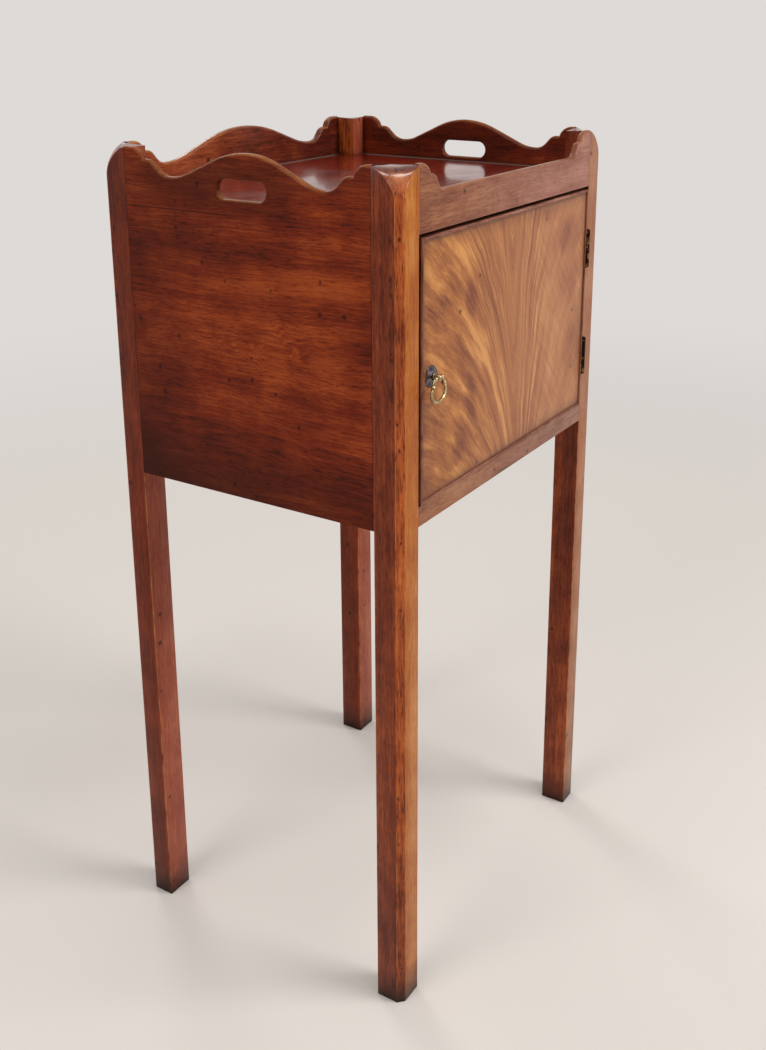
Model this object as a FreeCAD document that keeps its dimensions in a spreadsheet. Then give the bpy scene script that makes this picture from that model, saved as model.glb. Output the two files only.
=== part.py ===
import FreeCAD, Part
import math
import os
import re
import Sketcher

# A tray-top bedside cupboard: four posts, a case between them with one door, and a shaped gallery round
# the tray. X runs to the right, Y to the back and Z up. The origin is on the floor, under the middle of
# the whole piece.

doc = FreeCAD.newDocument("bedside_cupboard")

# Driving sizes, in millimetres
SIZES = {
    # carcase
    "case_width": 386.6,
    "case_depth": 316.0,
    "post_width": 27.7,
    "post_chamfer": 5.6,
    "board_thick": 7.5,
    "tongue_thick": 3.5,
    "tongue_length": 5.0,
    # heights: the case's bottom above the floor, then each above what is under it
    "case_bottom": 479.0,
    "rail_height": 18.0,
    "opening_height": 233.0,
    "tray_lift": 13.0,
    "valley_lift": 19.3,
    "cusp_lift": 13.3,
    "lobe_lift": 10.2,
    "hump_lift": 25.0,
    # carved tops of the posts
    "scoop_drop": 26.0,
    "gouge_radius": 94.0,
    "gouge_half": 25.0,
    "gouge_reach": 24.0,
    # outline of the gallery boards: cusps from the post, sweeps from the step after each cusp, and how far
    # the side humps stand before the middle
    "lobe_width": 14.04,
    "cusp_round": 0.8,
    "step_length": 3.4,
    "side_front_cusp": 17.9,
    "side_rear_cusp": 21.9,
    "rear_cusp": 22.7,
    "front_cusp": 20.3,
    "side_front_sweep": 23.6,
    "side_rear_sweep": 26.5,
    "rear_sweep": 23.7,
    "front_sweep": 17.5,
    "left_hump_shift": 6.5,
    "right_hump_shift": 1.0,
    "edge_round": 2.8,
    # hand holes
    "hole_length": 53.0,
    "hole_height": 17.0,
    "hole_lift": 13.2,
    "hole_round": 2.0,
    # rails and boards inside the case
    "rail_thick": 18.0,
    "tenon_thick": 6.0,
    "tenon_length": 12.0,
    "tenon_shoulder": 3.0,
    "tray_thick": 8.0,
    "floor_thick": 8.0,
    "back_thick": 7.0,
    "back_inset": 1.0,
    "back_rail_thick": 14.0,
    "bearer_width": 12.0,
    "bearer_height": 12.0,
    "bearer_inset": 1.0,
    "block_length": 36.0,
    "block_width": 10.0,
    "nail_head_radius": 2.0,
    "nail_head_thick": 0.6,
    "nail_radius": 0.8,
    "nail_length": 16.0,
    "nail_margin": 30.0,
    # door
    "door_thick": 16.0,
    "veneer_thick": 1.0,
    "free_gap": 2.0,
    "hinge_gap": 2.2,
    "head_gap": 3.0,
    "sill_gap": 0.6,
    "bead_width": 3.0,
    "bead_proud": 1.5,
    "bead_depth": 7.0,
    "bead_round": 1.35,
    "stop_length": 50.0,
    "stop_width": 10.0,
    "stop_height": 8.0,
    # hinges, the upper one down from the door's top and the lower one up from its bottom
    "upper_hinge_drop": 61.0,
    "lower_hinge_lift": 54.4,
    "hinge_length": 38.0,
    "leaf_thick": 1.2,
    "leaf_depth": 15.0,
    "barrel_radius": 2.5,
    "pin_radius": 1.2,
    "pin_play": 0.05,
    "pin_head_radius": 1.9,
    "pin_head_thick": 0.8,
    "screw_spread": 12.5,
    "screw_row": 9.0,
    "screw_stagger": 2.5,
    "screw_head_radius": 2.4,
    "screw_head_depth": 1.1,
    "screw_radius": 1.1,
    "screw_length": 11.0,
    "slot_width": 0.6,
    "slot_depth": 0.5,
    # handle and latch
    "handle_side": 46.6,
    "handle_lift": 111.0,
    "plate_radius": 9.6,
    "plate_edge": 0.7,
    "plate_rise": 3.0,
    "spindle_radius": 2.0,
    "spindle_play": 0.08,
    "collar_radius": 3.3,
    "collar_thick": 1.2,
    "neck_radius": 1.6,
    "ball_radius": 3.15,
    "ball_reach": 7.5,
    "wire_radius": 1.4,
    "ring_half_width": 11.6,
    "ring_widest": 12.0,
    "ring_bottom": 20.9,
    "knop_side": 8.7,
    "knop_drop": 6.1,
    "knop_radius": 2.1,
    "eye_side": 4.9,
    "eye_radius": 2.1,
    "eye_length": 2.9,
    "pintle_radius": 0.9,
    "pintle_length": 2.2,
    "bar_thick": 3.0,
    "bar_width": 8.0,
    "bar_reach": 25.0,
    "bar_heel": 6.0,
    "square_width": 2.8,
    "stud_radius": 1.3,
    "nut_radius": 3.6,
    "nut_thick": 2.5,
    "mortise_depth": 8.5,
    "mortise_drop": 18.75,
    # clearances, the overrun of every cut, and how near two points count as one
    "turning_gap": 0.3,
    "overrun": 1.0,
    "near_enough": 0.01,
}

# Shares for the gallery's curves: the slope of each arc's chord as a share of the whole curve's slope,
# always between a half and one, and how the length that two arcs need is split between them
SHARES = {
    "sweep_slope_share": 0.79,
    "front_sweep_slope_share": 0.73,
    "side_hump_slope_share": 0.71,
    "rear_hump_slope_share": 0.775,
    "sweep_split_share": 0.35,
    "hump_foot_share": 0.36,
    "hump_crown_share": 0.64,
}

# Places that follow from the driving sizes
PLACES = {
    "left": "-case_width / 2",
    "right": "case_width / 2",
    "front": "(ball_reach + ball_radius - case_depth) / 2",
    "rear": "front + case_depth",
    "inner_left": "left + board_thick",
    "inner_right": "right - board_thick",
    "post_left": "left + post_width",
    "post_right": "right - post_width",
    "post_front": "front + post_width",
    "post_rear": "rear - post_width",
    "tongue_face": "(board_thick - tongue_thick) / 2",
    "rail_top": "case_bottom + rail_height",
    "door_head": "rail_top + opening_height",
    "tray_top": "door_head + tray_lift",
    "valley_height": "tray_top + valley_lift",
    "cusp_height": "valley_height + cusp_lift",
    "lobe_height": "cusp_height + lobe_lift",
    "hump_height": "valley_height + hump_lift",
    "hole_centre": "tray_top + hole_lift",
    "hole_place": "case_depth / 2",
    "left_hump": "case_depth / 2 - left_hump_shift",
    "right_hump": "case_depth / 2 - right_hump_shift",
    "tray_under": "tray_top - tray_thick",
    "floor_under": "rail_top - floor_thick",
    "back_face": "rear - back_inset - back_thick",
    "door_left": "post_left + free_gap",
    "door_right": "post_right - hinge_gap",
    "door_bottom": "rail_top + sill_gap",
    "door_top": "door_head - head_gap",
    "door_back": "front + door_thick",
    "bead_front": "front - bead_proud",
    "hinge_x": "post_right - hinge_gap / 2",
    "upper_hinge_height": "door_top - upper_hinge_drop",
    "lower_hinge_height": "door_bottom + lower_hinge_lift",
    "handle_x": "left + handle_side",
    "handle_height": "rail_top + handle_lift",
    "ball_y": "front - ball_reach",
    "bar_front": "door_back + turning_gap",
    "bar_back": "bar_front + bar_thick",
    "lobe_slope": "lobe_lift / lobe_width",
    "cusp_run": "cusp_round * 2 * lobe_slope / (1 + lobe_slope ^ 2)",
    "cusp_rise": "cusp_run * lobe_slope",
    "gouge_sag": "gouge_radius - sqrt(gouge_radius ^ 2 - gouge_half ^ 2)",
    "chamfer_depth": "post_chamfer / sqrt(2) + post_chamfer ^ 2 / (4 * gouge_radius)",
    "scoop_end": "(post_width + board_thick) / sqrt(2)",
    "scoop_top": "lobe_height - post_width ^ 2 / (4 * gouge_radius)",
}

# Sharpness of an arc: the tangent of a quarter of its turn
EIGHTH_TURN = math.tan(math.radians(45) / 4)
QUARTER_TURN = math.tan(math.radians(90) / 4)
HALF_TURN = math.tan(math.radians(180) / 4)
ARM_TURN = math.tan(math.radians(41) / 4)
SHOULDER_TURN = math.tan(math.radians(52.4) / 4)

KNUCKLES = 5
HINGES = ("upper", "lower")


def fill_cell(sheet, row, alias, text):
    """One named cell, with its name beside it."""
    sheet.set(f"A{row}", alias)
    sheet.set(f"B{row}", text)
    sheet.setAlias(f"B{row}", alias)
    home[alias] = f"{sheet.Name}.{alias}"


def fill_sheet(name, cells, text):
    """A sheet with one named cell for each size or place."""
    sheet = doc.addObject("Spreadsheet::Sheet", name)
    for row, (alias, value) in enumerate(cells.items(), 1):
        fill_cell(sheet, row, alias, text(value))
    doc.recompute()
    return sheet


def spell(formula):
    """The formula with each named size or place written as its sheet knows it."""
    return re.sub(r"\w+", lambda word: home.get(word[0], word[0]), formula)


home = {}
sizes = fill_sheet("Sizes", SIZES, str)
fill_sheet("Shares", SHARES, str)
places = fill_sheet("Places", PLACES, lambda formula: "=" + spell(formula))


def note(alias, formula):
    """Works out one more place, in a cell of its own, and gives back its name."""
    PLACES[alias] = formula
    fill_cell(places, len(PLACES), alias, "=" + spell(formula))
    places.recompute()
    return alias


def worth(formula):
    """The formula's value in millimetres."""
    return float(sizes.evalExpression(spell(formula)))


def bind(piece, **formulas):
    """Ties properties of a piece to formulas."""
    for name, formula in formulas.items():
        piece.setExpression(name, spell(formula))


def place(piece, x="0", y="0", z="0"):
    """Ties the place of a piece to three formulas."""
    piece.setExpression("Placement.Base.x", spell(x))
    piece.setExpression("Placement.Base.y", spell(y))
    piece.setExpression("Placement.Base.z", spell(z))
    return piece


def block(name, x, y, z):
    """A squared block between a start and an end along each axis."""
    piece = doc.addObject("Part::Box", name)
    bind(
        piece,
        Length=f"({x[1]}) - ({x[0]})",
        Width=f"({y[1]}) - ({y[0]})",
        Height=f"({z[1]}) - ({z[0]})",
    )
    return place(piece, x[0], y[0], z[0])


AXES = {
    "+x": FreeCAD.Rotation(FreeCAD.Vector(0, 1, 0), 90),
    "-x": FreeCAD.Rotation(FreeCAD.Vector(0, 1, 0), -90),
    "+y": FreeCAD.Rotation(FreeCAD.Vector(1, 0, 0), -90),
    "-y": FreeCAD.Rotation(FreeCAD.Vector(1, 0, 0), 90),
    "+z": FreeCAD.Rotation(),
}


def rod(name, axis, centre, radius, length):
    """A round rod that starts at the centre given and runs along the axis."""
    piece = doc.addObject("Part::Cylinder", name)
    piece.Placement.Rotation = AXES[axis]
    bind(piece, Radius=radius, Height=length)
    return place(piece, *centre)


def cone(name, axis, centre, first, second, length):
    """A round taper that starts at the centre given and runs along the axis."""
    piece = doc.addObject("Part::Cone", name)
    piece.Placement.Rotation = AXES[axis]
    bind(piece, Radius1=first, Radius2=second, Height=length)
    return place(piece, *centre)


def ball(name, centre, radius):
    """A whole ball, with its poles to the front and the back."""
    piece = doc.addObject("Part::Sphere", name)
    piece.Placement.Rotation = AXES["+y"]
    bind(piece, Radius=radius)
    return place(piece, *centre)


def join(name, pieces):
    """Several shapes as one piece, or as one group where they lie apart."""
    union = doc.addObject("Part::MultiFuse", name)
    union.Shapes = pieces
    return union


def cut(name, base, *tools):
    """A piece with other shapes taken out of it."""
    result = doc.addObject("Part::Cut", name)
    result.Base = base
    result.Tool = tools[0] if len(tools) == 1 else join(name + "_cuts", list(tools))
    return result


def draw(body, name, role, corners, closed=True, turned=None):
    """A sketch on one of the body's own planes. A corner is (along, up, bend), the last being the sharpness
    of the arc to the next corner: more than zero turns left, less turns right, zero is a straight side."""
    sketch = body.newObject("Sketcher::SketchObject", name)
    plane = next(f for f in body.Origin.OriginFeatures if f.Role == role)
    sketch.AttachmentSupport = [(plane, "")]
    sketch.MapMode = "FlatFace"
    if turned:
        sketch.AttachmentOffset = FreeCAD.Placement(FreeCAD.Vector(), FreeCAD.Rotation(turned, 45))
    spots = [FreeCAD.Vector(worth(along), worth(up), 0) for along, up, bend in corners]
    sides = len(corners) if closed else len(corners) - 1
    heads = []
    for side in range(sides):
        start, end = spots[side], spots[(side + 1) % len(spots)]
        bend = corners[side][2]
        run = end - start
        middle = (start + end) / 2 + FreeCAD.Vector(run.y, -run.x, 0) * (bend / 2)
        sketch.addGeometry(Part.Arc(start, middle, end) if bend else Part.LineSegment(start, end), False)
        near = sketch.getPoint(side, 1).distanceToPoint(start)
        heads.append(1 if near < sketch.getPoint(side, 2).distanceToPoint(start) else 2)
    rules = []
    for number, (along, up, bend) in enumerate(corners):
        side, end = (number, heads[number]) if number < sides else (number - 1, 3 - heads[number - 1])
        rules.append(("DistanceX", (-1, 1, side, end), spots[number].x, along))
        rules.append(("DistanceY", (-1, 1, side, end), spots[number].y, up))
        if number < sides and (closed or number):
            before = (number - 1) % sides
            rules.append(("Coincident", (before, 3 - heads[before], side, end), None, None))
        if bend and number < sides:
            far_along, far_up, far_bend = corners[(number + 1) % len(corners)]
            lean = (1 - bend ** 2) / (4 * bend)
            run = spots[(number + 1) % len(spots)] - spots[number]
            if abs(run.y) > abs(run.x):
                centre = f"(({along}) + ({far_along})) / 2 - (({far_up}) - ({up})) * {lean:.9f}"
                rules.append(("DistanceX", (-1, 1, number, 3), worth(centre), centre))
            else:
                centre = f"(({up}) + ({far_up})) / 2 + (({far_along}) - ({along})) * {lean:.9f}"
                rules.append(("DistanceY", (-1, 1, number, 3), worth(centre), centre))
    for kind, ends, size, rule in rules:
        sketch.addConstraint(Sketcher.Constraint(kind, *ends, *([] if size is None else [size])))
    for number, (kind, ends, size, formula) in enumerate(rules):
        if formula:
            sketch.setExpression(f"Constraints[{number}]", spell(formula))
    return sketch


def new_body(name, x="0", y="0", z="0", turn=0):
    """A body set at a place and turned about the upright."""
    body = doc.addObject("PartDesign::Body", name)
    body.Placement.Rotation = FreeCAD.Rotation(FreeCAD.Vector(0, 0, 1), turn)
    return place(body, x, y, z)


def pad(body, sketch, length, name="slab"):
    """The sketch given a thickness."""
    solid = body.newObject("PartDesign::Pad", f"{body.Name}_{name}")
    solid.Profile = sketch
    bind(solid, Length=length)
    return solid


def ease(body, base, radius, chosen, name="round"):
    """Edges of a solid rounded over, chosen by a test."""
    doc.recompute()
    names = [f"Edge{number}" for number, edge in enumerate(base.Shape.Edges, 1) if chosen(edge)]
    rounding = body.newObject("PartDesign::Fillet", f"{body.Name}_{name}")
    rounding.Base = (base, names)
    bind(rounding, Radius=radius)
    return rounding


nodes = []


def keep(piece, label):
    """Lists a finished sub-part under its own label."""
    piece.Label = label
    nodes.append(piece)
    return piece


# Posts: square, with the outer corner planed off and the top carved down to it in one hollow sweep

def post_blank(name, x, y, turn):
    body = new_body(name, x, y, turn=turn)
    square = [
        ("0", "0", 0), ("post_width", "0", 0), ("post_width", "post_width", 0), ("0", "post_width", 0),
    ]
    pad(body, draw(body, name + "_square", "XY_Plane", square), "lobe_height")
    run = "(scoop_end - chamfer_depth)"
    rise = f"(scoop_drop * cos(45) - {run} * (1 - cos(45))) / (2 * cos(45) - 1)"
    path = [
        ("chamfer_depth", "0", 0),
        ("chamfer_depth", "scoop_top - scoop_drop", -EIGHTH_TURN),
        (f"chamfer_depth + {rise} * (1 - cos(45))", f"scoop_top - scoop_drop + {rise} * cos(45)",
         -EIGHTH_TURN),
        ("scoop_end", "scoop_top", 0),
        ("post_width * sqrt(2) + overrun", "scoop_top", 0),
    ]
    spine = draw(body, name + "_sweep", "XZ_Plane", path, closed=False, turned=FreeCAD.Vector(0, 1, 0))
    half_angle = math.asin(worth("gouge_half / gouge_radius"))
    edge = [
        ("chamfer_depth - gouge_sag", "-gouge_half", math.tan(half_angle / 2)),
        ("chamfer_depth - gouge_sag", "gouge_half", 0),
        ("chamfer_depth - gouge_reach", "gouge_half", 0),
        ("chamfer_depth - gouge_reach", "-gouge_half", 0),
    ]
    gouge = draw(body, name + "_gouge", "XY_Plane", edge, turned=FreeCAD.Vector(0, 0, 1))
    scoop = body.newObject("PartDesign::SubtractivePipe", name + "_scoop")
    scoop.Profile = gouge
    scoop.Spine = spine
    scoop.Transition = "Right corner"
    return body


# Gallery boards: one outline of lobe, step and sweep at each end

def arc_bend(slope):
    """Sharpness of an arc whose chord has this slope, where the arc leaves or meets the level."""
    return (math.sqrt(1 + worth(slope) ** 2) - 1) / worth(slope)


def ogee(name, start, end, slope_share, split):
    """A smooth S from one level point to another, as two arcs and the straight between them. The first arc
    takes this split of the length that both arcs need."""
    run = f"(({end[0]}) - ({start[0]}))"
    rise = f"(({end[1]}) - ({start[1]}))"
    lift = f"(abs{rise} / {rise})"
    slope = note(f"{name}_slope", f"{slope_share} * abs{rise} / {run}")
    steep = f"(2 * {slope} / (1 - {slope} ^ 2))"
    bent = note(f"{name}_bent", f"({steep} * {run} - abs{rise}) / ({steep} - {slope})")
    turn = arc_bend(slope) if worth(rise) > 0 else -arc_bend(slope)
    first, last = f"({bent} * {split})", f"({bent} * (1 - {split}))"
    return [
        (*start, turn),
        (f"({start[0]}) + {first}", f"({start[1]}) + {lift} * {slope} * {first}", 0),
        (f"({end[0]}) - {last}", f"({end[1]}) - {lift} * {slope} * {last}", -turn),
    ]


def lobe(cusp):
    """The top of the lobe and its fall into the small rounded cusp, measured from the corner."""
    bend = arc_bend("lobe_slope")
    return [
        (f"{cusp} - lobe_width", "lobe_height", -bend),
        (f"{cusp} - cusp_run", "cusp_height + cusp_rise", bend),
        (cusp, "cusp_height", 0),
    ]


def reverse(points, length):
    """An outline run the other way from the board's far end."""
    bends = [bend for along, up, bend in points][-2::-1]
    back = [(f"{length} - ({along})", up) for along, up, bend in points][::-1]
    return [(along, up, bend) for (along, up), bend in zip(back, bends + [0])]


def gallery_outline(name, length, foot, cusps, sweeps, sweep_share, crest=None, hump_share=None):
    """A board's whole outline, from the foot of its first end and round."""
    ends, valleys = [], []
    for end, cusp, sweep in zip(("first", "last"), cusps, sweeps):
        corner = note(f"{name}_{end}_cusp", f"post_width + {cusp}")
        step = (f"{corner} + step_length", "cusp_height")
        valley = (note(f"{name}_{end}_valley", f"{step[0]} + {sweep}"), "valley_height")
        curve = ogee(f"{name}_{end}_sweep", step, valley, sweep_share, "sweep_split_share")
        ends.append([("post_width", "lobe_height", 0), *lobe(corner), *curve])
        valleys.append(valley)
    middle = [(*valleys[0], 0)]
    if crest:
        top = (crest, "hump_height")
        last = (f"{length} - {valleys[1][0]}", "valley_height")
        middle = ogee(f"{name}_rise", valleys[0], top, hump_share, "hump_foot_share")
        middle += ogee(f"{name}_fall", top, last, hump_share, "hump_crown_share")
    back = reverse(ends[1] + [(*valleys[1], 0)], length)
    return ends[0] + middle + back + [(f"{length} - post_width", foot, 0), ("post_width", foot, 0)]


def gallery_board(name, role, x, y, outline, length, hole=None):
    """A board cut to the gallery's outline, its upper edge rounded over, with a hand hole where it has one."""
    body = new_body(name, x, y)
    slab = pad(body, draw(body, name + "_outline", role, outline), "board_thick")
    across = (lambda point: point.x) if role == "YZ_Plane" else (lambda point: point.y)
    along = (lambda point: point.y) if role == "YZ_Plane" else (lambda point: point.x)
    ends = (worth("post_width"), worth(f"{length} - post_width"))
    low_edge = worth("valley_height - overrun")
    gap = worth("near_enough")

    def on_a_face(edge):
        places = [across(vertex.Point) for vertex in edge.Vertexes]
        return max(places) - min(places) < gap

    def on_top(edge):
        upright = any(
            all(abs(along(vertex.Point) - end) < gap for vertex in edge.Vertexes) for end in ends
        )
        return on_a_face(edge) and not upright and min(v.Point.z for v in edge.Vertexes) > low_edge

    def round_hole(edge):
        middle = edge.CenterOfMass
        inside = worth("hole_length") / 2 + gap
        return (
            on_a_face(edge)
            and abs(middle.z - worth("hole_centre")) <= worth("hole_height") / 2 + gap
            and abs(along(middle) - worth(hole)) <= inside
        )

    ease(body, slab, "edge_round", on_top, "edge_round")
    if hole:
        flat = f"({hole}) - (hole_length - hole_height) / 2"
        far = f"({hole}) + (hole_length - hole_height) / 2"
        low = "hole_centre - hole_height / 2"
        high = "hole_centre + hole_height / 2"
        slot = [(flat, low, 0), (far, low, HALF_TURN), (far, high, 0), (flat, high, HALF_TURN)]
        pocket = body.newObject("PartDesign::Pocket", name + "_hand_hole")
        pocket.Profile = draw(body, name + "_hole", role, slot)
        pocket.Type = "ThroughAll"
        pocket.Reversed = True
        ease(body, pocket, "hole_round", round_hole, "hole_round")
    return body


# Joints between boards and posts: tongues and tenons, as squared blocks that the posts give way to

def side_tongues(side):
    face = "left" if side == "left" else "right - board_thick"
    x = (f"{face} + tongue_face", f"{face} + tongue_face + tongue_thick")
    z = ("case_bottom", "valley_height")
    return (
        block(f"tongue_{side}_front", x, ("post_front - tongue_length", "post_front"), z),
        block(f"tongue_{side}_rear", x, ("post_rear", "post_rear + tongue_length"), z),
    )


def cross_tenons(name, y, z, length):
    return (
        block(f"{name}_left", (f"post_left - {length}", "post_left"), y, z),
        block(f"{name}_right", ("post_right", f"post_right + {length}"), y, z),
    )


left_tongues = side_tongues("left")
right_tongues = side_tongues("right")
gallery_tongues = cross_tenons(
    "gallery_tongue",
    ("rear - board_thick + tongue_face", "rear - board_thick + tongue_face + tongue_thick"),
    ("door_head", "valley_height"),
    "tongue_length",
)
back_tongues = cross_tenons(
    "back_tongue",
    ("back_face + tongue_face", "back_face + tongue_face + tongue_thick"),
    ("case_bottom", "door_head"),
    "tongue_length",
)
top_rail_tenons = cross_tenons(
    "top_rail_tenon",
    ("front + tongue_face", "front + tongue_face + tongue_thick"),
    ("door_head + tenon_shoulder", "valley_height - tenon_shoulder"),
    "tenon_length",
)
bottom_rail_tenons = cross_tenons(
    "bottom_rail_tenon",
    ("front + (rail_thick - tenon_thick) / 2", "front + (rail_thick + tenon_thick) / 2"),
    ("case_bottom + tenon_shoulder", "rail_top - tenon_shoulder"),
    "tenon_length",
)
back_rail_tenons = cross_tenons(
    "back_rail_tenon",
    ("back_face - (back_rail_thick + tenon_thick) / 2", "back_face - (back_rail_thick - tenon_thick) / 2"),
    ("case_bottom + tenon_shoulder", "floor_under"),
    "tongue_length",
)

# Hinges: brass butts with five knuckles, leaves let in flush and three countersunk screws a leaf

def screw_spots(height):
    return (
        ("bead_front + screw_row + screw_stagger", f"{height} - screw_spread"),
        ("bead_front + screw_row - screw_stagger", height),
        ("bead_front + screw_row + screw_stagger", f"{height} + screw_spread"),
    )


def screws(name, face, axis, heights):
    """Countersunk screws of every hinge on one side: the blanks that the wood gives way to, and the
    slots in their heads."""
    blanks, slots = [], []
    for height in heights:
        for y, z in screw_spots(height):
            number = len(blanks) // 2
            centre = (face, y, z)
            spread = ("screw_head_radius", "screw_radius", "screw_head_depth")
            blanks.append(cone(f"{name}_head_{number}", axis, centre, *spread))
            blanks.append(rod(f"{name}_shank_{number}", axis, centre, "screw_radius", "screw_length"))
            slots.append(
                block(
                    f"{name}_slot_{number}",
                    (f"{face} - slot_depth", f"{face} + slot_depth"),
                    (f"{y} - screw_head_radius", f"{y} + screw_head_radius"),
                    (f"{z} - slot_width / 2", f"{z} + slot_width / 2"),
                )
            )
    return join(name + "_blanks", blanks), join(name + "_slots", slots)


hinge_heights = [f"{name}_hinge_height" for name in HINGES]
post_screws, post_slots = screws("post_screws", "post_right", "+x", hinge_heights)
door_screws, door_slots = screws("door_screws", "door_right", "-x", hinge_heights)
keep(cut("hinge_screws_post", post_screws, post_slots), "hinge_screws_post")
keep(cut("hinge_screws_door", door_screws, door_slots), "hinge_screws_door")


def knuckle(name, height, number, radius, slack):
    """One knuckle of a barrel, or with slack the room that it turns in."""
    low = f"{height} - hinge_length / 2 + hinge_length * {number} / {KNUCKLES} + turning_gap / 2 - ({slack})"
    length = f"hinge_length / {KNUCKLES} - turning_gap + 2 * ({slack})"
    return rod(name, "+z", ("hinge_x", "bead_front", low), radius, length)


def leaf(name, x, height, own, other, bore, screw_blanks):
    """A leaf with its knuckles, cut away round those of its partner."""
    plate = block(name + "_plate", x, ("bead_front", "bead_front + leaf_depth"),
                  (f"{height} - hinge_length / 2", f"{height} + hinge_length / 2"))
    wide = "barrel_radius + turning_gap"
    room = [knuckle(f"{name}_room_{n}", height, n, wide, "turning_gap") for n in other]
    barrel = [knuckle(f"{name}_knuckle_{n}", height, n, "barrel_radius", "0") for n in own]
    low = f"{height} - hinge_length / 2 - overrun"
    hole = rod(f"{name}_bore", "+z", ("hinge_x", "bead_front", low), bore, "hinge_length + 2 * overrun")
    shape = join(name + "_joined", [cut(name + "_trimmed", plate, *room), *barrel])
    return cut(name, shape, hole, screw_blanks), plate


post_plates, door_plates, barrel_rooms = [], [], []
for name, height in zip(HINGES, hinge_heights):
    label = f"hinge_{name}"
    knuckles = range(KNUCKLES)
    post_leaf, post_plate = leaf(
        f"{label}_post_leaf", ("post_right", "post_right + leaf_thick"), height,
        knuckles[::2], knuckles[1::2], "pin_radius", post_screws,
    )
    door_leaf, door_plate = leaf(
        f"{label}_door_leaf", ("door_right - leaf_thick", "door_right"), height,
        knuckles[1::2], knuckles[::2], "pin_radius + pin_play", door_screws,
    )
    low = f"{height} - hinge_length / 2"
    pin = join(f"{label}_pin", [
        rod(f"{label}_shank", "+z", ("hinge_x", "bead_front", f"{low} - pin_head_thick"),
            "pin_radius", "hinge_length + 2 * pin_head_thick"),
        rod(f"{label}_foot", "+z", ("hinge_x", "bead_front", f"{low} - pin_head_thick"),
            "pin_head_radius", "pin_head_thick"),
        rod(f"{label}_head", "+z", ("hinge_x", "bead_front", f"{height} + hinge_length / 2"),
            "pin_head_radius", "pin_head_thick"),
    ])
    keep(post_leaf, f"{label}_post_leaf")
    keep(door_leaf, f"{label}_door_leaf")
    keep(pin, f"{label}_pin")
    post_plates.append(post_plate)
    door_plates.append(door_plate)
    barrel_rooms.append(
        rod(f"{label}_room", "+z",
            ("hinge_x", "bead_front", f"{low} - pin_head_thick - turning_gap"),
            "barrel_radius + turning_gap",
            "hinge_length + 2 * (pin_head_thick + turning_gap)")
    )

# The four posts

mortise = block(
    "latch_mortise",
    ("post_left - mortise_depth", "post_left + overrun"),
    ("bar_front - 2 * turning_gap", "bar_back + 2 * turning_gap"),
    ("handle_height - mortise_drop", "handle_height + bar_width / 2 + 2 * turning_gap"),
)
POSTS = {
    "post_front_left": ("left", "front", 0, [
        left_tongues[0], top_rail_tenons[0], bottom_rail_tenons[0], mortise,
    ]),
    "post_front_right": ("right", "front", 90, [
        right_tongues[0], top_rail_tenons[1], bottom_rail_tenons[1],
        post_screws, *post_plates, *barrel_rooms,
    ]),
    "post_rear_right": ("right", "rear", 180, [
        right_tongues[1], gallery_tongues[1], back_tongues[1], back_rail_tenons[1],
    ]),
    "post_rear_left": ("left", "rear", 270, [
        left_tongues[1], gallery_tongues[0], back_tongues[0], back_rail_tenons[0],
    ]),
}
for name, (x, y, turn, joints) in POSTS.items():
    keep(cut(name, post_blank(name + "_blank", x, y, turn), *joints), name)

# Side panels, one wide board each from the case's bottom to the gallery, with a hand hole

SIDE_CUSPS = ("side_front_cusp", "side_rear_cusp")
SIDE_SWEEPS = ("side_front_sweep", "side_rear_sweep")
for side, x, crest, tongues in (
    ("left", "left", "left_hump", left_tongues),
    ("right", "inner_right", "right_hump", right_tongues),
):
    outline = gallery_outline(
        f"{side}_side", "case_depth", "case_bottom", SIDE_CUSPS, SIDE_SWEEPS,
        "sweep_slope_share", crest, "side_hump_slope_share",
    )
    board = gallery_board(
        f"side_board_{side}", "YZ_Plane", x, "front", outline, "case_depth", "hole_place"
    )
    keep(join(f"side_panel_{side}", [board, *tongues]), f"side_panel_{side}")

# Rear gallery board, with a hump and no hole, and the front top rail, low and straight between its shoulders

outline = gallery_outline(
    "rear_gallery", "case_width", "door_head", ("rear_cusp", "rear_cusp"), ("rear_sweep", "rear_sweep"),
    "sweep_slope_share", "case_width / 2", "rear_hump_slope_share",
)
board = gallery_board("rear_board", "XZ_Plane", "left", "rear", outline, "case_width")
keep(join("rear_gallery_board", [board, *gallery_tongues]), "rear_gallery_board")

outline = gallery_outline(
    "front_rail", "case_width", "door_head", ("front_cusp", "front_cusp"), ("front_sweep", "front_sweep"),
    "front_sweep_slope_share",
)
board = gallery_board("front_board", "XZ_Plane", "left", "front + board_thick", outline, "case_width")
keep(join("front_top_rail", [board, *top_rail_tenons]), "front_top_rail")

# Rails at the bottom of the case

bottom_rail = block("bottom_rail", ("post_left", "post_right"), ("front", "front + rail_thick"),
                    ("case_bottom", "rail_top"))
keep(join("front_bottom_rail", [bottom_rail, *bottom_rail_tenons]), "front_bottom_rail")

back_rail = block("back_rail", ("post_left", "post_right"), ("back_face - back_rail_thick", "back_face"),
                  ("case_bottom", "floor_under"))

# Back panel, nailed to the rail inside it

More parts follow.
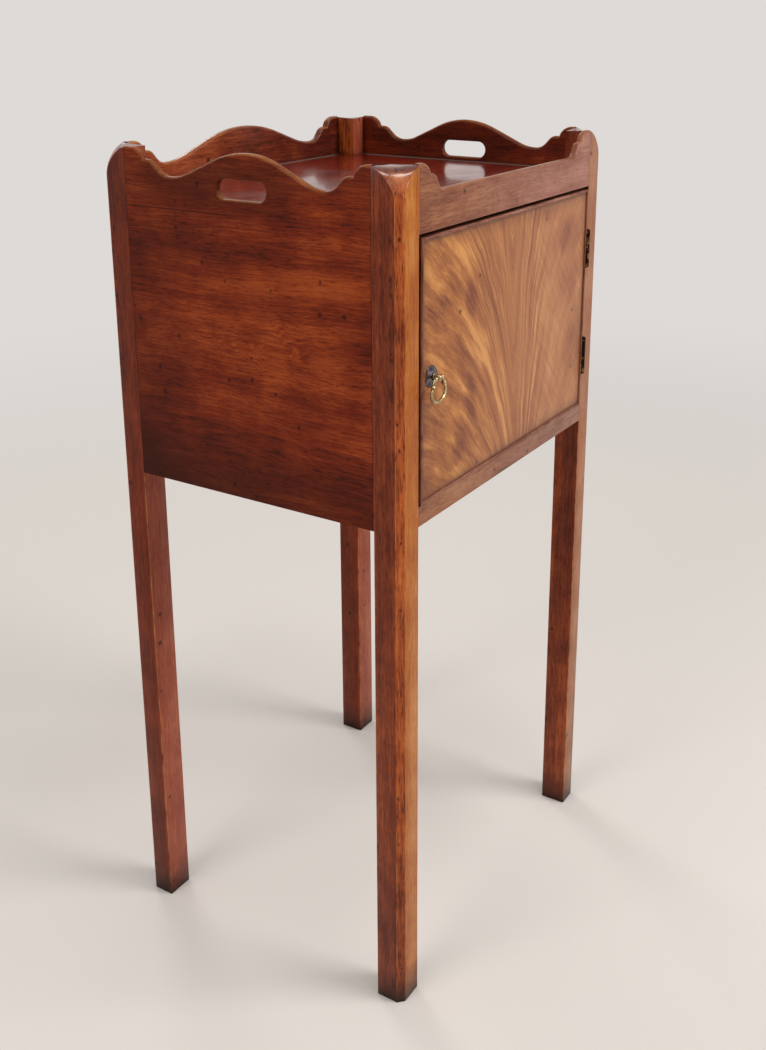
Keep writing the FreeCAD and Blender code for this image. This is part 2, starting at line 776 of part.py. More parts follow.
nail_heads, nail_shanks = [], []
NAILS = 6
for number in range(NAILS):
    x = f"post_left + nail_margin + (post_right - post_left - 2 * nail_margin) * {number} / {NAILS - 1}"
    centre = (x, "back_face + back_thick", "(case_bottom + floor_under) / 2")
    nail_heads.append(rod(f"nail_head_{number}", "-y", centre, "nail_head_radius", "nail_head_thick"))
    nail_shanks.append(rod(f"nail_shank_{number}", "-y", centre, "nail_radius", "nail_length"))
nails = keep(join("back_nails", nail_heads + nail_shanks), "back_nails")
back_board = block("back_board", ("post_left", "post_right"), ("back_face", "back_face + back_thick"),
                   ("case_bottom", "door_head"))
keep(cut("back_panel", join("back_board_tongued", [back_board, *back_tongues]), nails), "back_panel")
back_rail = join("back_rail_tenoned", [back_rail, *back_rail_tenons])
keep(cut("rear_bottom_rail", back_rail, nails), "rear_bottom_rail")

# Tray and cupboard floor, notched round the posts


def notched_board(name, label, front_edge, rear_edge, low, thick):
    """A board between the side panels, with a notch for each post."""
    body = new_body(name, z=low)
    outline = [
        ("inner_left", "post_front", 0), ("post_left", "post_front", 0), ("post_left", front_edge, 0),
        ("post_right", front_edge, 0), ("post_right", "post_front", 0), ("inner_right", "post_front", 0),
        ("inner_right", "post_rear", 0), ("post_right", "post_rear", 0), ("post_right", rear_edge, 0),
        ("post_left", rear_edge, 0), ("post_left", "post_rear", 0), ("inner_left", "post_rear", 0),
    ]
    pad(body, draw(body, name + "_outline", "XY_Plane", outline), thick)
    return keep(body, label)


notched_board(
    "tray_body", "tray_board", "front + board_thick", "rear - board_thick", "tray_under", "tray_thick"
)
notched_board(
    "floor_body", "cupboard_floor", "front + rail_thick", "back_face", "floor_under", "floor_thick"
)

# Bearers glued and pinned to the sides, under both boards

for side, x in (("left", ("inner_left", "inner_left + bearer_width")),
                ("right", ("inner_right - bearer_width", "inner_right"))):
    length = ("post_front", "post_rear")
    keep(block(f"tray_strip_{side}", x, length, ("tray_under - bearer_height", "tray_under")),
         f"tray_bearer_{side}")
    keep(block(f"floor_strip_{side}", x, length, ("case_bottom + bearer_inset", "floor_under")),
         f"floor_bearer_{side}")

# Rubbed glue blocks behind the rails

BLOCKS = 3


def glue_blocks(label, y, z):
    """Evenly spaced blocks along a rail."""
    blocks = []
    for number in range(BLOCKS):
        middle = f"(post_left + (post_right - post_left) * {2 * number + 1} / {2 * BLOCKS})"
        x = (f"{middle} - block_length / 2", f"{middle} + block_length / 2")
        blocks.append(block(f"{label}_{number}", x, y, z))
    return keep(join(label, blocks), label)


glue_blocks("tray_glue_blocks", ("front + board_thick", "front + board_thick + block_width"),
            ("door_head", "tray_under"))
glue_blocks("floor_glue_blocks", ("front + rail_thick", "front + rail_thick + block_width"),
            ("case_bottom + bearer_inset", "floor_under"))

# Door stop, glued to the floor behind the door

keep(block("stop_block", ("handle_x + bar_width", "handle_x + bar_width + stop_length"),
           ("door_back + turning_gap", "door_back + turning_gap + stop_width"),
           ("rail_top", "rail_top + stop_height")), "door_stop")

# Door: a core board, a flame veneer on its face and a mitred cock bead round the edge

bead_back = "bead_front + bead_depth"
core = join("door_core", [
    block("door_back_part", ("door_left", "door_right"), (bead_back, "door_back"),
          ("door_bottom", "door_top")),
    block("door_front_part", ("door_left + bead_width", "door_right - bead_width"),
          ("front + veneer_thick", bead_back), ("door_bottom + bead_width", "door_top - bead_width")),
])
spindle_hole = rod("spindle_hole", "+y", ("handle_x", "front - overrun", "handle_height"),
                   "spindle_radius + spindle_play", "door_thick + 2 * overrun")
keep(cut("door_board", core, spindle_hole, door_screws, *door_plates, *barrel_rooms), "door_board")
veneer = block("veneer_sheet", ("door_left + bead_width", "door_right - bead_width"),
               ("front", "front + veneer_thick"), ("door_bottom + bead_width", "door_top - bead_width"))
keep(cut("door_veneer", veneer, spindle_hole, *barrel_rooms), "door_veneer")

BEADS = {
    "top": ("door_left", "door_top", "door_right", "door_top",
            "door_right - bead_width", "door_top - bead_width",
            "door_left + bead_width", "door_top - bead_width"),
    "bottom": ("door_left", "door_bottom", "door_left + bead_width", "door_bottom + bead_width",
               "door_right - bead_width", "door_bottom + bead_width", "door_right", "door_bottom"),
    "left": ("door_left", "door_bottom", "door_left", "door_top",
             "door_left + bead_width", "door_top - bead_width",
             "door_left + bead_width", "door_bottom + bead_width"),
    "right": ("door_right", "door_bottom", "door_right - bead_width", "door_bottom + bead_width",
              "door_right - bead_width", "door_top - bead_width", "door_right", "door_top"),
}


def bead(side, ends):
    """One strip of cock bead with mitred ends and a rounded front."""
    body = new_body(f"bead_{side}", y=bead_back)
    corners = [(ends[n], ends[n + 1], 0) for n in range(0, len(ends), 2)]
    strip = pad(body, draw(body, f"bead_{side}_outline", "XZ_Plane", corners), "bead_depth")
    level = side in ("top", "bottom")
    gap = worth("near_enough")

    def long_front_edge(edge):
        ends = [vertex.Point for vertex in edge.Vertexes]
        in_front = all(abs(point.y + worth("bead_depth")) < gap for point in ends)
        same = abs(ends[0].z - ends[1].z) if level else abs(ends[0].x - ends[1].x)
        return in_front and same < gap

    ease(body, strip, "bead_round", long_front_edge)
    return body


for side, ends in BEADS.items():
    strip = bead(side, ends)
    if side == "right":
        strip = cut("bead_right_let_in", strip, door_screws, *door_plates, *barrel_rooms)
    keep(strip, f"door_bead_{side}")

# Handle: a domed backplate, a ball-ended spindle, and a drop ring hung from the ball on two pintles

plate_body = new_body("plate_body", "handle_x", "front", "handle_height")
plate_bore = "spindle_radius + spindle_play"
dome_slope = worth("(plate_rise - plate_edge) / (plate_radius - spindle_radius - spindle_play)")
plate_half = [
    (plate_bore, "0", 0), (plate_bore, "-plate_rise", math.tan(math.atan(dome_slope) / 2)),
    ("plate_radius", "-plate_edge", 0), ("plate_radius", "0", 0),
]
plate = plate_body.newObject("PartDesign::Revolution", "plate_turned")
plate.Profile = draw(plate_body, "plate_half", "XY_Plane", plate_half)
plate.ReferenceAxis = (plate.Profile[0], ["V_Axis"])
keep(plate_body, "handle_backplate")

axis_place = ("handle_x", "ball_y", "handle_height")
spindle = join("spindle_joined", [
    ball("spindle_ball", axis_place, "ball_radius"),
    rod("spindle_neck", "+y", axis_place, "neck_radius", "ball_reach - plate_rise"),
    rod("spindle_collar", "+y",
        ("handle_x", "front - plate_rise - turning_gap - collar_thick", "handle_height"),
        "collar_radius", "collar_thick"),
    rod("spindle_shaft", "+y", ("handle_x", "front - plate_rise - turning_gap", "handle_height"),
        "spindle_radius", "plate_rise + door_thick + 2 * turning_gap"),
    block("spindle_square", ("handle_x - square_width / 2", "handle_x + square_width / 2"),
          ("bar_front", "bar_back"),
          ("handle_height - square_width / 2", "handle_height + square_width / 2")),
    rod("spindle_stud", "+y", ("handle_x", "bar_front", "handle_height"),
        "stud_radius", "bar_thick + nut_thick"),
])
pintle_hole = rod("pintle_hole", "+x", ("handle_x - ball_radius", "ball_y", "handle_height"),
                  "pintle_radius + pin_play", "2 * ball_radius")
keep(cut("handle_spindle", spindle, pintle_hole), "handle_spindle")

ring_body = new_body("ring_body", *axis_place)
ring_drop = "(ring_bottom - ring_widest)"
lower_bend = f"({ring_drop} * cos(45) - ring_half_width * (1 - cos(45))) / (2 * cos(45) - 1)"
quarter = (f"ring_half_width - {lower_bend} * (1 - cos(45))", f"-ring_widest - {lower_bend} * cos(45)")
ring_half = [
    ("eye_side", "0", ARM_TURN), ("knop_side", "-knop_drop", -SHOULDER_TURN),
    ("ring_half_width", "-ring_widest", -EIGHTH_TURN),
]
ring_path = ring_half + [(*quarter, -QUARTER_TURN), (f"-({quarter[0]})", quarter[1], -EIGHTH_TURN)]
ring_path += [
    ("-ring_half_width", "-ring_widest", -SHOULDER_TURN), ("-knop_side", "-knop_drop", ARM_TURN),
    ("-eye_side", "0", 0),
]
ring_spine = draw(ring_body, "ring_path", "XZ_Plane", ring_path, closed=False)
wire_round = [("eye_side", "-wire_radius", HALF_TURN), ("eye_side", "wire_radius", HALF_TURN)]
ring_wire = ring_body.newObject("PartDesign::AdditivePipe", "ring_wire")
ring_wire.Profile = draw(ring_body, "wire_round", "XY_Plane", wire_round)
ring_wire.Spine = ring_spine
ring_wire.Transition = "Right corner"
ring_pieces = [ring_body]
for side, sign, axis in (("left", "-", "+x"), ("right", "+", "-x")):
    outer = f"handle_x {sign} (ball_radius + turning_gap + eye_length)"
    eye_place = (outer, "ball_y", "handle_height")
    knop_place = (f"handle_x {sign} knop_side", "ball_y", "handle_height - knop_drop")
    ring_pieces.append(rod(f"eye_{side}", axis, eye_place, "eye_radius", "eye_length"))
    ring_pieces.append(
        rod(f"pintle_{side}", axis, eye_place, "pintle_radius", "eye_length + turning_gap + pintle_length")
    )
    ring_pieces.append(ball(f"knop_{side}", knop_place, "knop_radius"))
keep(join("handle_ring", ring_pieces), "handle_ring")

# Latch: a turn bar on the squared end of the spindle, held by a nut

bar = block("bar_blank", ("handle_x - bar_width / 2", "handle_x + bar_width / 2"), ("bar_front", "bar_back"),
            ("handle_height - bar_reach", "handle_height + bar_heel"))
nut = rod("nut_blank", "+y", ("handle_x", "bar_back", "handle_height"), "nut_radius", "nut_thick")
keep(cut("latch_bar", bar, spindle), "latch_bar")
keep(cut("spindle_nut", nut, spindle), "spindle_nut")

# Every object is sound before anything is written

doc.recompute()
failed = [piece.Label for piece in doc.Objects if {"Invalid", "Error"} & set(piece.State)]
failed += [piece.Label for piece in nodes if piece.Shape.isNull() or not piece.Shape.isValid()]
if failed:
    raise RuntimeError(f"these pieces failed: {failed}")

os.makedirs("parts", exist_ok=True)
for piece in nodes:
    piece.Shape.exportStep(f"parts/{piece.Label}.step")
    print(f"{piece.Label}: {len(piece.Shape.Solids)} solids, {piece.Shape.Volume:.1f} mm3")
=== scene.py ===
import math

import bmesh
import bpy
from mathutils import Matrix, Vector


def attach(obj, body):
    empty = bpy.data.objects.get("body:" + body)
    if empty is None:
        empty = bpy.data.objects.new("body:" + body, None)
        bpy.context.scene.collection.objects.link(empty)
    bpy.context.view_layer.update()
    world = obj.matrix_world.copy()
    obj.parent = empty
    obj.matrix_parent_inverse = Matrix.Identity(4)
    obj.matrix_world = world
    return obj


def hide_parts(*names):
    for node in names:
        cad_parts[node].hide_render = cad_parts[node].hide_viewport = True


# The tray-top bedside cupboard, dressed in its finishes. Lengths are in metres: X to the right, Y to the
# back and Z up, with the origin on the floor under the middle of the piece.

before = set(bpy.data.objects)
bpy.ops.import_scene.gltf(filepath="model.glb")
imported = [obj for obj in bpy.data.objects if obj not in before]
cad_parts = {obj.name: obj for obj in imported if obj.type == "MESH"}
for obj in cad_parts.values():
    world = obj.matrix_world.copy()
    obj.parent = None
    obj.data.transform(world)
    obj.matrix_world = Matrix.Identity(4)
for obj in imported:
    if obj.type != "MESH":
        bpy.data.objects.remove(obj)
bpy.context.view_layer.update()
bpy.ops.object.select_all(action="DESELECT")
MM = 0.001

# Camera, a little above the cupboard and to the left of its front, looking down. Its shift only places the
# cupboard in an upright picture as it was framed. The centre and the focal length are in picture pixels.

PICTURE_WIDTH = 766
PICTURE_HEIGHT = 1050
EYE = Vector((-0.98236, -0.64777, 0.90067))
EYE_TURN = math.radians(58.73)
EYE_TILT = math.radians(-16.49)
EYE_ROLL = math.radians(0.14)
FOCAL_PIXELS = 1217.3
CENTRE_COLUMN = 418.2
CENTRE_ROW = 370.5

look = (
    Matrix.Rotation(-EYE_TURN, 3, "Z")
    @ Matrix.Rotation(math.radians(90) + EYE_TILT, 3, "X")
    @ Matrix.Rotation(EYE_ROLL, 3, "Z")
)
bpy.ops.object.camera_add(location=EYE, rotation=look.to_euler())
camera = bpy.context.object
camera.data.lens = FOCAL_PIXELS / PICTURE_HEIGHT * camera.data.sensor_width
camera.data.shift_x = (PICTURE_WIDTH / 2 - CENTRE_COLUMN) / PICTURE_HEIGHT
camera.data.shift_y = (CENTRE_ROW - PICTURE_HEIGHT / 2) / PICTURE_HEIGHT
bpy.context.scene.camera = camera
bpy.context.scene.view_settings.view_transform = "Standard"

# Floor and sky: one pale matt sheet that fades into a pale sky well away from the cupboard. Neither is
# part of it. They are all that the polish has to mirror.

FLOOR_REACH = 60
FLOOR_SHADE = "#e4ddd6"
SKY_SHADE = "#dedad7"
SKY_LIGHT = 0.44
FADE_START = 0.9
FADE_END = 2.6


def linear(shade):
    """A hex colour as linear red, green, blue and alpha."""
    parts = [int(shade[at:at + 2], 16) / 255 for at in (1, 3, 5)]
    return (*(p / 12.92 if p <= 0.04045 else ((p + 0.055) / 1.055) ** 2.4 for p in parts), 1.0)


def give(tree, node, inputs):
    """Links or sets a node's inputs. A node given as an input stands for its first output in use."""
    for name, value in dict(inputs).items():
        if isinstance(value, bpy.types.Node):
            value = next(socket for socket in value.outputs if socket.enabled)
        if isinstance(value, bpy.types.NodeSocket):
            tree.links.new(value, node.inputs[name])
        else:
            node.inputs[name].default_value = value


def add(tree, kind, inputs=(), **settings):
    """Adds a node with its settings and its inputs."""
    node = tree.nodes.new("ShaderNode" + kind)
    for name, value in settings.items():
        setattr(node, name, value)
    give(tree, node, inputs)
    return node


def new_material(name, sockets):
    """A material with only its shader and output, as (material, tree, shader)."""
    material = bpy.data.materials.new(name)
    material.use_nodes = True
    tree = material.node_tree
    tree.nodes.clear()
    shader = add(tree, "BsdfPrincipled", sockets)
    add(tree, "OutputMaterial", {"Surface": shader})
    return material, tree, shader


def seen_directly(tree):
    """1 where the camera, a mirroring or a clear surface sees this, and 0 where it only gives light."""
    ray = add(tree, "LightPath").outputs
    seen = add(tree, "Math", {0: ray["Is Camera Ray"], 1: ray["Is Glossy Ray"]}, operation="MAXIMUM")
    return add(tree, "Math", {0: seen, 1: ray["Is Transmission Ray"]}, operation="MAXIMUM")


bpy.ops.mesh.primitive_plane_add(size=FLOOR_REACH)
floor = bpy.context.object
floor.name = "studio_floor"

# A chalky floor that takes a soft shadow and has no shine.
material, tree, shader = new_material(
    "matt studio floor", {"Base Color": linear(FLOOR_SHADE), "Roughness": 0.95, "Specular IOR Level": 0.1}
)
coords = add(tree, "TexCoord").outputs
away = add(tree, "VectorMath", {0: coords["Object"]}, operation="LENGTH").outputs["Value"]
fade = add(tree, "MapRange", {0: away, 1: FADE_START, 2: FADE_END}, interpolation_type="SMOOTHSTEP")
fade = add(tree, "Math", {0: fade, 1: seen_directly(tree)}, operation="MULTIPLY")
far = add(tree, "Emission", {"Color": linear(SKY_SHADE)})
faded = add(tree, "MixShader", {0: fade, 1: shader, 2: far})
give(tree, tree.nodes["Material Output"], {"Surface": faded})
floor.data.materials.append(material)

world = bpy.data.worlds.new("studio")
bpy.context.scene.world = world
world.use_nodes = True
tree = world.node_tree
tree.nodes.clear()
plain = add(tree, "Background", {"Color": (1, 1, 1, 1), "Strength": SKY_LIGHT})
shown = add(tree, "Background", {"Color": linear(SKY_SHADE), "Strength": 1.0})
sky = add(tree, "MixShader", {0: seen_directly(tree), 1: plain, 2: shown})
add(tree, "OutputWorld", {"Surface": sky})

# Lamps: a broad soft one before the door, a weaker one at the left, a small one from behind, all high, and
# a small one overhead that the rounded edges catch.

AIM = Vector((0, 0, 0.55))
LAMPS = (
    ("key", Vector((0.7, -2.5, 2.1)), 1.6, 50),
    ("fill", Vector((-2.6, 0.5, 2.0)), 1.8, 26),
    ("back", Vector((1.4, 2.3, 2.4)), 1.2, 20),
    ("top", Vector((-0.15, -0.55, 2.6)), 0.42, 5.5),
)
for name, place, size, power in LAMPS:
    turn = (place - AIM).to_track_quat("Z", "Y").to_euler()
    bpy.ops.object.light_add(type="AREA", location=place, rotation=turn)
    lamp = bpy.context.object
    lamp.name = "lamp_" + name
    lamp.data.shape = "DISK"
    lamp.data.size = size
    lamp.data.energy = power

# Posts: solid mahogany with upright grain, planed square, chamfered on the outer corner and polished. Wear
# has eased the arrises, the front faces have faded to gold and the chamfers are rubbed to orange.


def box_of(node):
    """The low and the high corner of a solid piece."""
    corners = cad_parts[node].bound_box
    return Vector(corners[0]), Vector(corners[6])


FRONT = box_of("post_front_left")[0].y
RIGHT = box_of("post_rear_right")[1].x
INNER_LEFT, INNER_FRONT, _ = box_of("post_front_left")[1]
INNER_RIGHT, INNER_REAR, _ = box_of("post_rear_right")[0]
CASE_BOTTOM = box_of("side_panel_left")[0].z
RAIL_TOP = box_of("front_bottom_rail")[1].z
DOOR_HEAD = box_of("front_top_rail")[0].z
TRAY_TOP = box_of("tray_board")[1].z
ARRIS_ROUND = 0.9 * MM
SHARP = math.radians(25)
NEAR = 0.02 * MM


def copy_of(node, name):
    """A copy of a solid piece, merged into one skin and open in edit mode."""
    bpy.ops.object.select_all(action="DESELECT")
    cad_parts[node].select_set(True)
    bpy.context.view_layer.objects.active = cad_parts[node]
    bpy.ops.object.duplicate()
    piece = bpy.context.object
    piece.name = name
    piece.parent = None
    for key in list(piece.keys()):
        del piece[key]
    bpy.ops.object.mode_set(mode="EDIT")
    bpy.ops.mesh.customdata_custom_splitnormals_clear()
    bpy.ops.mesh.select_all(action="SELECT")
    bpy.ops.mesh.remove_doubles(threshold=NEAR / 4)
    bpy.ops.mesh.dissolve_limited(angle_limit=math.radians(0.3))
    return piece


def free_arris(edge, inner_x, inner_y, by_the_door):
    """Whether an edge of a post is an arris that no board meets, so that hands and brooms can wear it."""
    if edge.calc_face_angle(0.0) < SHARP:
        return False
    middle = (edge.verts[0].co + edge.verts[1].co) / 2
    if middle.z < CASE_BOTTOM:
        return True
    on_inner_x = abs(middle.x - inner_x) < NEAR
    on_inner_y = abs(middle.y - inner_y) < NEAR
    if by_the_door and on_inner_x and abs(middle.y - FRONT) < NEAR and RAIL_TOP < middle.z < DOOR_HEAD:
        return True
    between = abs(middle.x) < RIGHT - NEAR and INNER_FRONT < middle.y < INNER_REAR
    return not (between or on_inner_x or on_inner_y)


GRAIN = {"x": (0, 0, 0), "y": (0, 0, math.radians(-90)), "z": (0, math.radians(90), 0)}
# Near-black: the grime in dents, seams and cracks, and the painted shade in corners.
GRIME_AND_SHADE = linear("#140806")


def stretched_noise(tree, place, sizes, detail=2.0, roughness=0.5):
    """A noise whose cells have these real sizes along the three axes."""
    cells = add(tree, "VectorMath", {0: place, 1: sizes}, operation="DIVIDE")
    return add(tree, "TexNoise", {"Vector": cells, "Scale": 1.0, "Detail": detail, "Roughness": roughness})


def swayed(tree, place, drift, reach):
    """A place pushed to and fro by the colours of a noise, by up to half a reach along each axis."""
    push = add(tree, "VectorMath", {0: drift.outputs["Color"], 1: (0.5, 0.5, 0.5)}, operation="SUBTRACT")
    push = add(tree, "VectorMath", {0: push, 1: reach}, operation="MULTIPLY")
    return add(tree, "VectorMath", {0: place, 1: push}, operation="ADD")


def figure(tree, turn, offset, wave):
    """Straight mahogany grain along one axis, as (place, bands, fibres, pores). The fibres are 2 mm and the
    pores 0.7 mm apart, about three times as coarse as real ones, so that they show."""
    coords = add(tree, "TexCoord").outputs
    turned = add(tree, "Mapping", {0: coords["Object"], "Rotation": turn, "Location": offset})
    drift = stretched_noise(tree, turned, (333 * MM, 111 * MM, 111 * MM))
    place = swayed(tree, turned, drift, (0, 18 * MM * wave, 18 * MM * wave))
    bands = stretched_noise(tree, place, (250 * MM, 16.67 * MM, 16.67 * MM), 4.0, 0.6)
    fibres = stretched_noise(tree, place, (33.33 * MM, 1.923 * MM, 1.923 * MM), 3.0, 0.65)
    pores = stretched_noise(tree, place, (9.09 * MM, 0.7143 * MM, 0.7143 * MM), 1.0)
    return turned, bands, fibres, pores


def mahogany(name, turn, offset, contrast=1.0, wave=1.0, gloss=0.36):
    """Polished mahogany that still lacks its colour, as (material, tree, shader, tone). It gives a soft
    shine over a striped depth. The tone runs from 0, dark, to 1, light: bands and fibres with dark dashes,
    blotched all over by old polish."""
    material, tree, shader = new_material(
        name, {"Specular IOR Level": 0.1, "Coat Weight": 0.14, "Coat Roughness": 0.14}
    )
    place, bands, fibres, pores = figure(tree, turn, offset, wave)
    half = 0.3 / contrast
    tone = add(tree, "MapRange", {0: bands, 1: 0.5 - half, 2: 0.5 + half, 3: 0.05, 4: 0.95})
    thread = add(tree, "MapRange", {0: fibres, 1: 0.25, 2: 0.75, 3: -0.32 * contrast, 4: 0.32 * contrast})
    blotch = add(
        tree, "TexNoise", {"Vector": place, "Scale": 1 / (45.45 * MM), "Detail": 5.0, "Roughness": 0.62}
    )
    stain = add(tree, "MapRange", {0: blotch, 1: 0.32, 2: 0.7, 3: 0.2 * contrast, 4: -0.3 * contrast})
    dash = add(tree, "MapRange", {0: pores, 1: 0.54, 2: 0.68, 3: 0.0, 4: -0.4 * contrast})
    for part in (thread, stain, dash):
        tone = add(tree, "Math", {0: tone, 1: part}, operation="ADD")
    rough = add(tree, "MapRange", {0: blotch, 1: 0.3, 2: 0.7, 3: gloss - 0.07, 4: gloss + 0.1})
    relief = add(tree, "Math", {0: fibres, 1: dash}, operation="ADD")
    bump = add(tree, "Bump", {"Strength": 0.2, "Distance": 0.25 * MM, "Height": relief})
    give(tree, shader, {"Roughness": rough, "Normal": bump})
    return material, tree, shader, tone


def tinted(tree, tone, shades):
    """The colour at each tone, from dark through middle to light."""
    deep, middle, light = (linear(shade) for shade in shades)
    low = add(tree, "MapRange", {0: tone, 1: 0.0, 2: 0.5})
    high = add(tree, "MapRange", {0: tone, 1: 0.5, 2: 1.0})
    colour = add(tree, "Mix", {0: low, 6: deep, 7: middle}, data_type="RGBA")
    return add(tree, "Mix", {0: high, 6: colour, 7: light}, data_type="RGBA")


def line_at(tree, value, centre, half, strength):
    """How far a soft line covers, where a value passes a centre."""
    away = add(tree, "Math", {0: value, 1: centre}, operation="SUBTRACT")
    away = add(tree, "Math", {0: away}, operation="ABSOLUTE")
    return add(
        tree, "MapRange", {0: away, 1: 0.0, 2: half, 3: strength, 4: 0.0}, interpolation_type="SMOOTHSTEP"
    )


def with_dents(tree, colour, share):
    """A colour with small dents in it, filled with grime: 1 to 4 mm across, one to every few centimetres.
    They lie on the front and on the sides alike, as the pattern runs round the corners."""
    coords = add(tree, "TexCoord").outputs
    ragged = add(tree, "TexNoise", {"Vector": coords["Object"], "Scale": 1 / (2.381 * MM), "Detail": 1.0})
    place = swayed(tree, coords["Object"], ragged, (2.6 * MM,) * 3)
    round_corner = add(tree, "VectorMath", {0: place, 1: (1.0, -1.3, 0.0)}, operation="DOT_PRODUCT")
    height = add(tree, "SeparateXYZ", {0: place}).outputs["Z"]
    flat = add(tree, "CombineXYZ", {0: round_corner.outputs["Value"], 1: height})
    cells = add(tree, "TexVoronoi", {"Vector": flat, "Scale": 1 / (33.33 * MM)}, voronoi_dimensions="2D")
    chance = add(tree, "SeparateColor", {0: cells.outputs["Color"]}).outputs
    picked = add(tree, "Math", {0: chance["Red"], 1: share}, operation="LESS_THAN")
    width = add(tree, "MapRange", {0: chance["Green"], 3: 0.045, 4: 0.12})
    near = add(tree, "MapRange", {0: cells, 1: 0.0, 2: width, 3: 1.0, 4: 0.0})
    dent = add(tree, "Math", {0: near, 1: picked}, operation="MULTIPLY")
    return add(tree, "Mix", {0: dent, 6: colour, 7: GRIME_AND_SHADE}, data_type="RGBA")


def dress(piece, material):
    """Puts a material in every slot of a solid piece."""
    for slot in piece.material_slots:
        slot.material = material


def finish_wood(piece, material, tree, shader, colour, reach=9 * MM, depth=0.7):
    """Painted shade in corners and gaps, with the grime and old polish gathered there, and the material put
    on the piece.
    """
    hollow = add(tree, "AmbientOcclusion", {"Distance": reach}, samples=6)
    # Painted shade: where ambient occlusion finds a corner or gap, the colour goes towards near-black.
    dirt_and_shade = add(tree, "MapRange", {0: hollow.outputs["AO"], 1: 0.3, 2: 0.8, 3: depth, 4: 0.0})
    colour = add(tree, "Mix", {0: dirt_and_shade, 6: colour, 7: GRIME_AND_SHADE}, data_type="RGBA")
    give(tree, shader, {"Base Color": colour})
    dress(piece, material)


FRONT_SIDES = ("#561d0c", "#7e361a", "#a85226")
GOLD_FACES = ("#9a4a14", "#b26824", "#c88444")
FADED_FACES = ("#8a5234", "#9e6645", "#b07a58")
REAR_SIDES = ("#4f1807", "#6c260c", "#87361a")
REAR_FACES = ("#843a24", "#9c4e36", "#b06448")
CHAMFER = ("#5c220f", "#a85022", "#cc7238")
SCOOP = ("#3c140c", "#6e3020", "#96502f")
WORN_EDGE = linear("#c98455")
DARK_FOOT = linear("#1a0c08")
TURNED_SLIGHTLY = 0.8
TURNED_FULLY = 0.95
STAIN_FRONT = 143.5 * MM
STAIN_REAR = 153.5 * MM
POSTS = (
    ("post_front_left", INNER_LEFT, INNER_FRONT, FRONT_SIDES, GOLD_FACES),
    ("post_front_right", INNER_RIGHT, INNER_FRONT, FRONT_SIDES, FADED_FACES),
    ("post_rear_left", INNER_LEFT, INNER_REAR, REAR_SIDES, REAR_FACES),
    ("post_rear_right", INNER_RIGHT, INNER_REAR, REAR_SIDES, REAR_FACES),
)
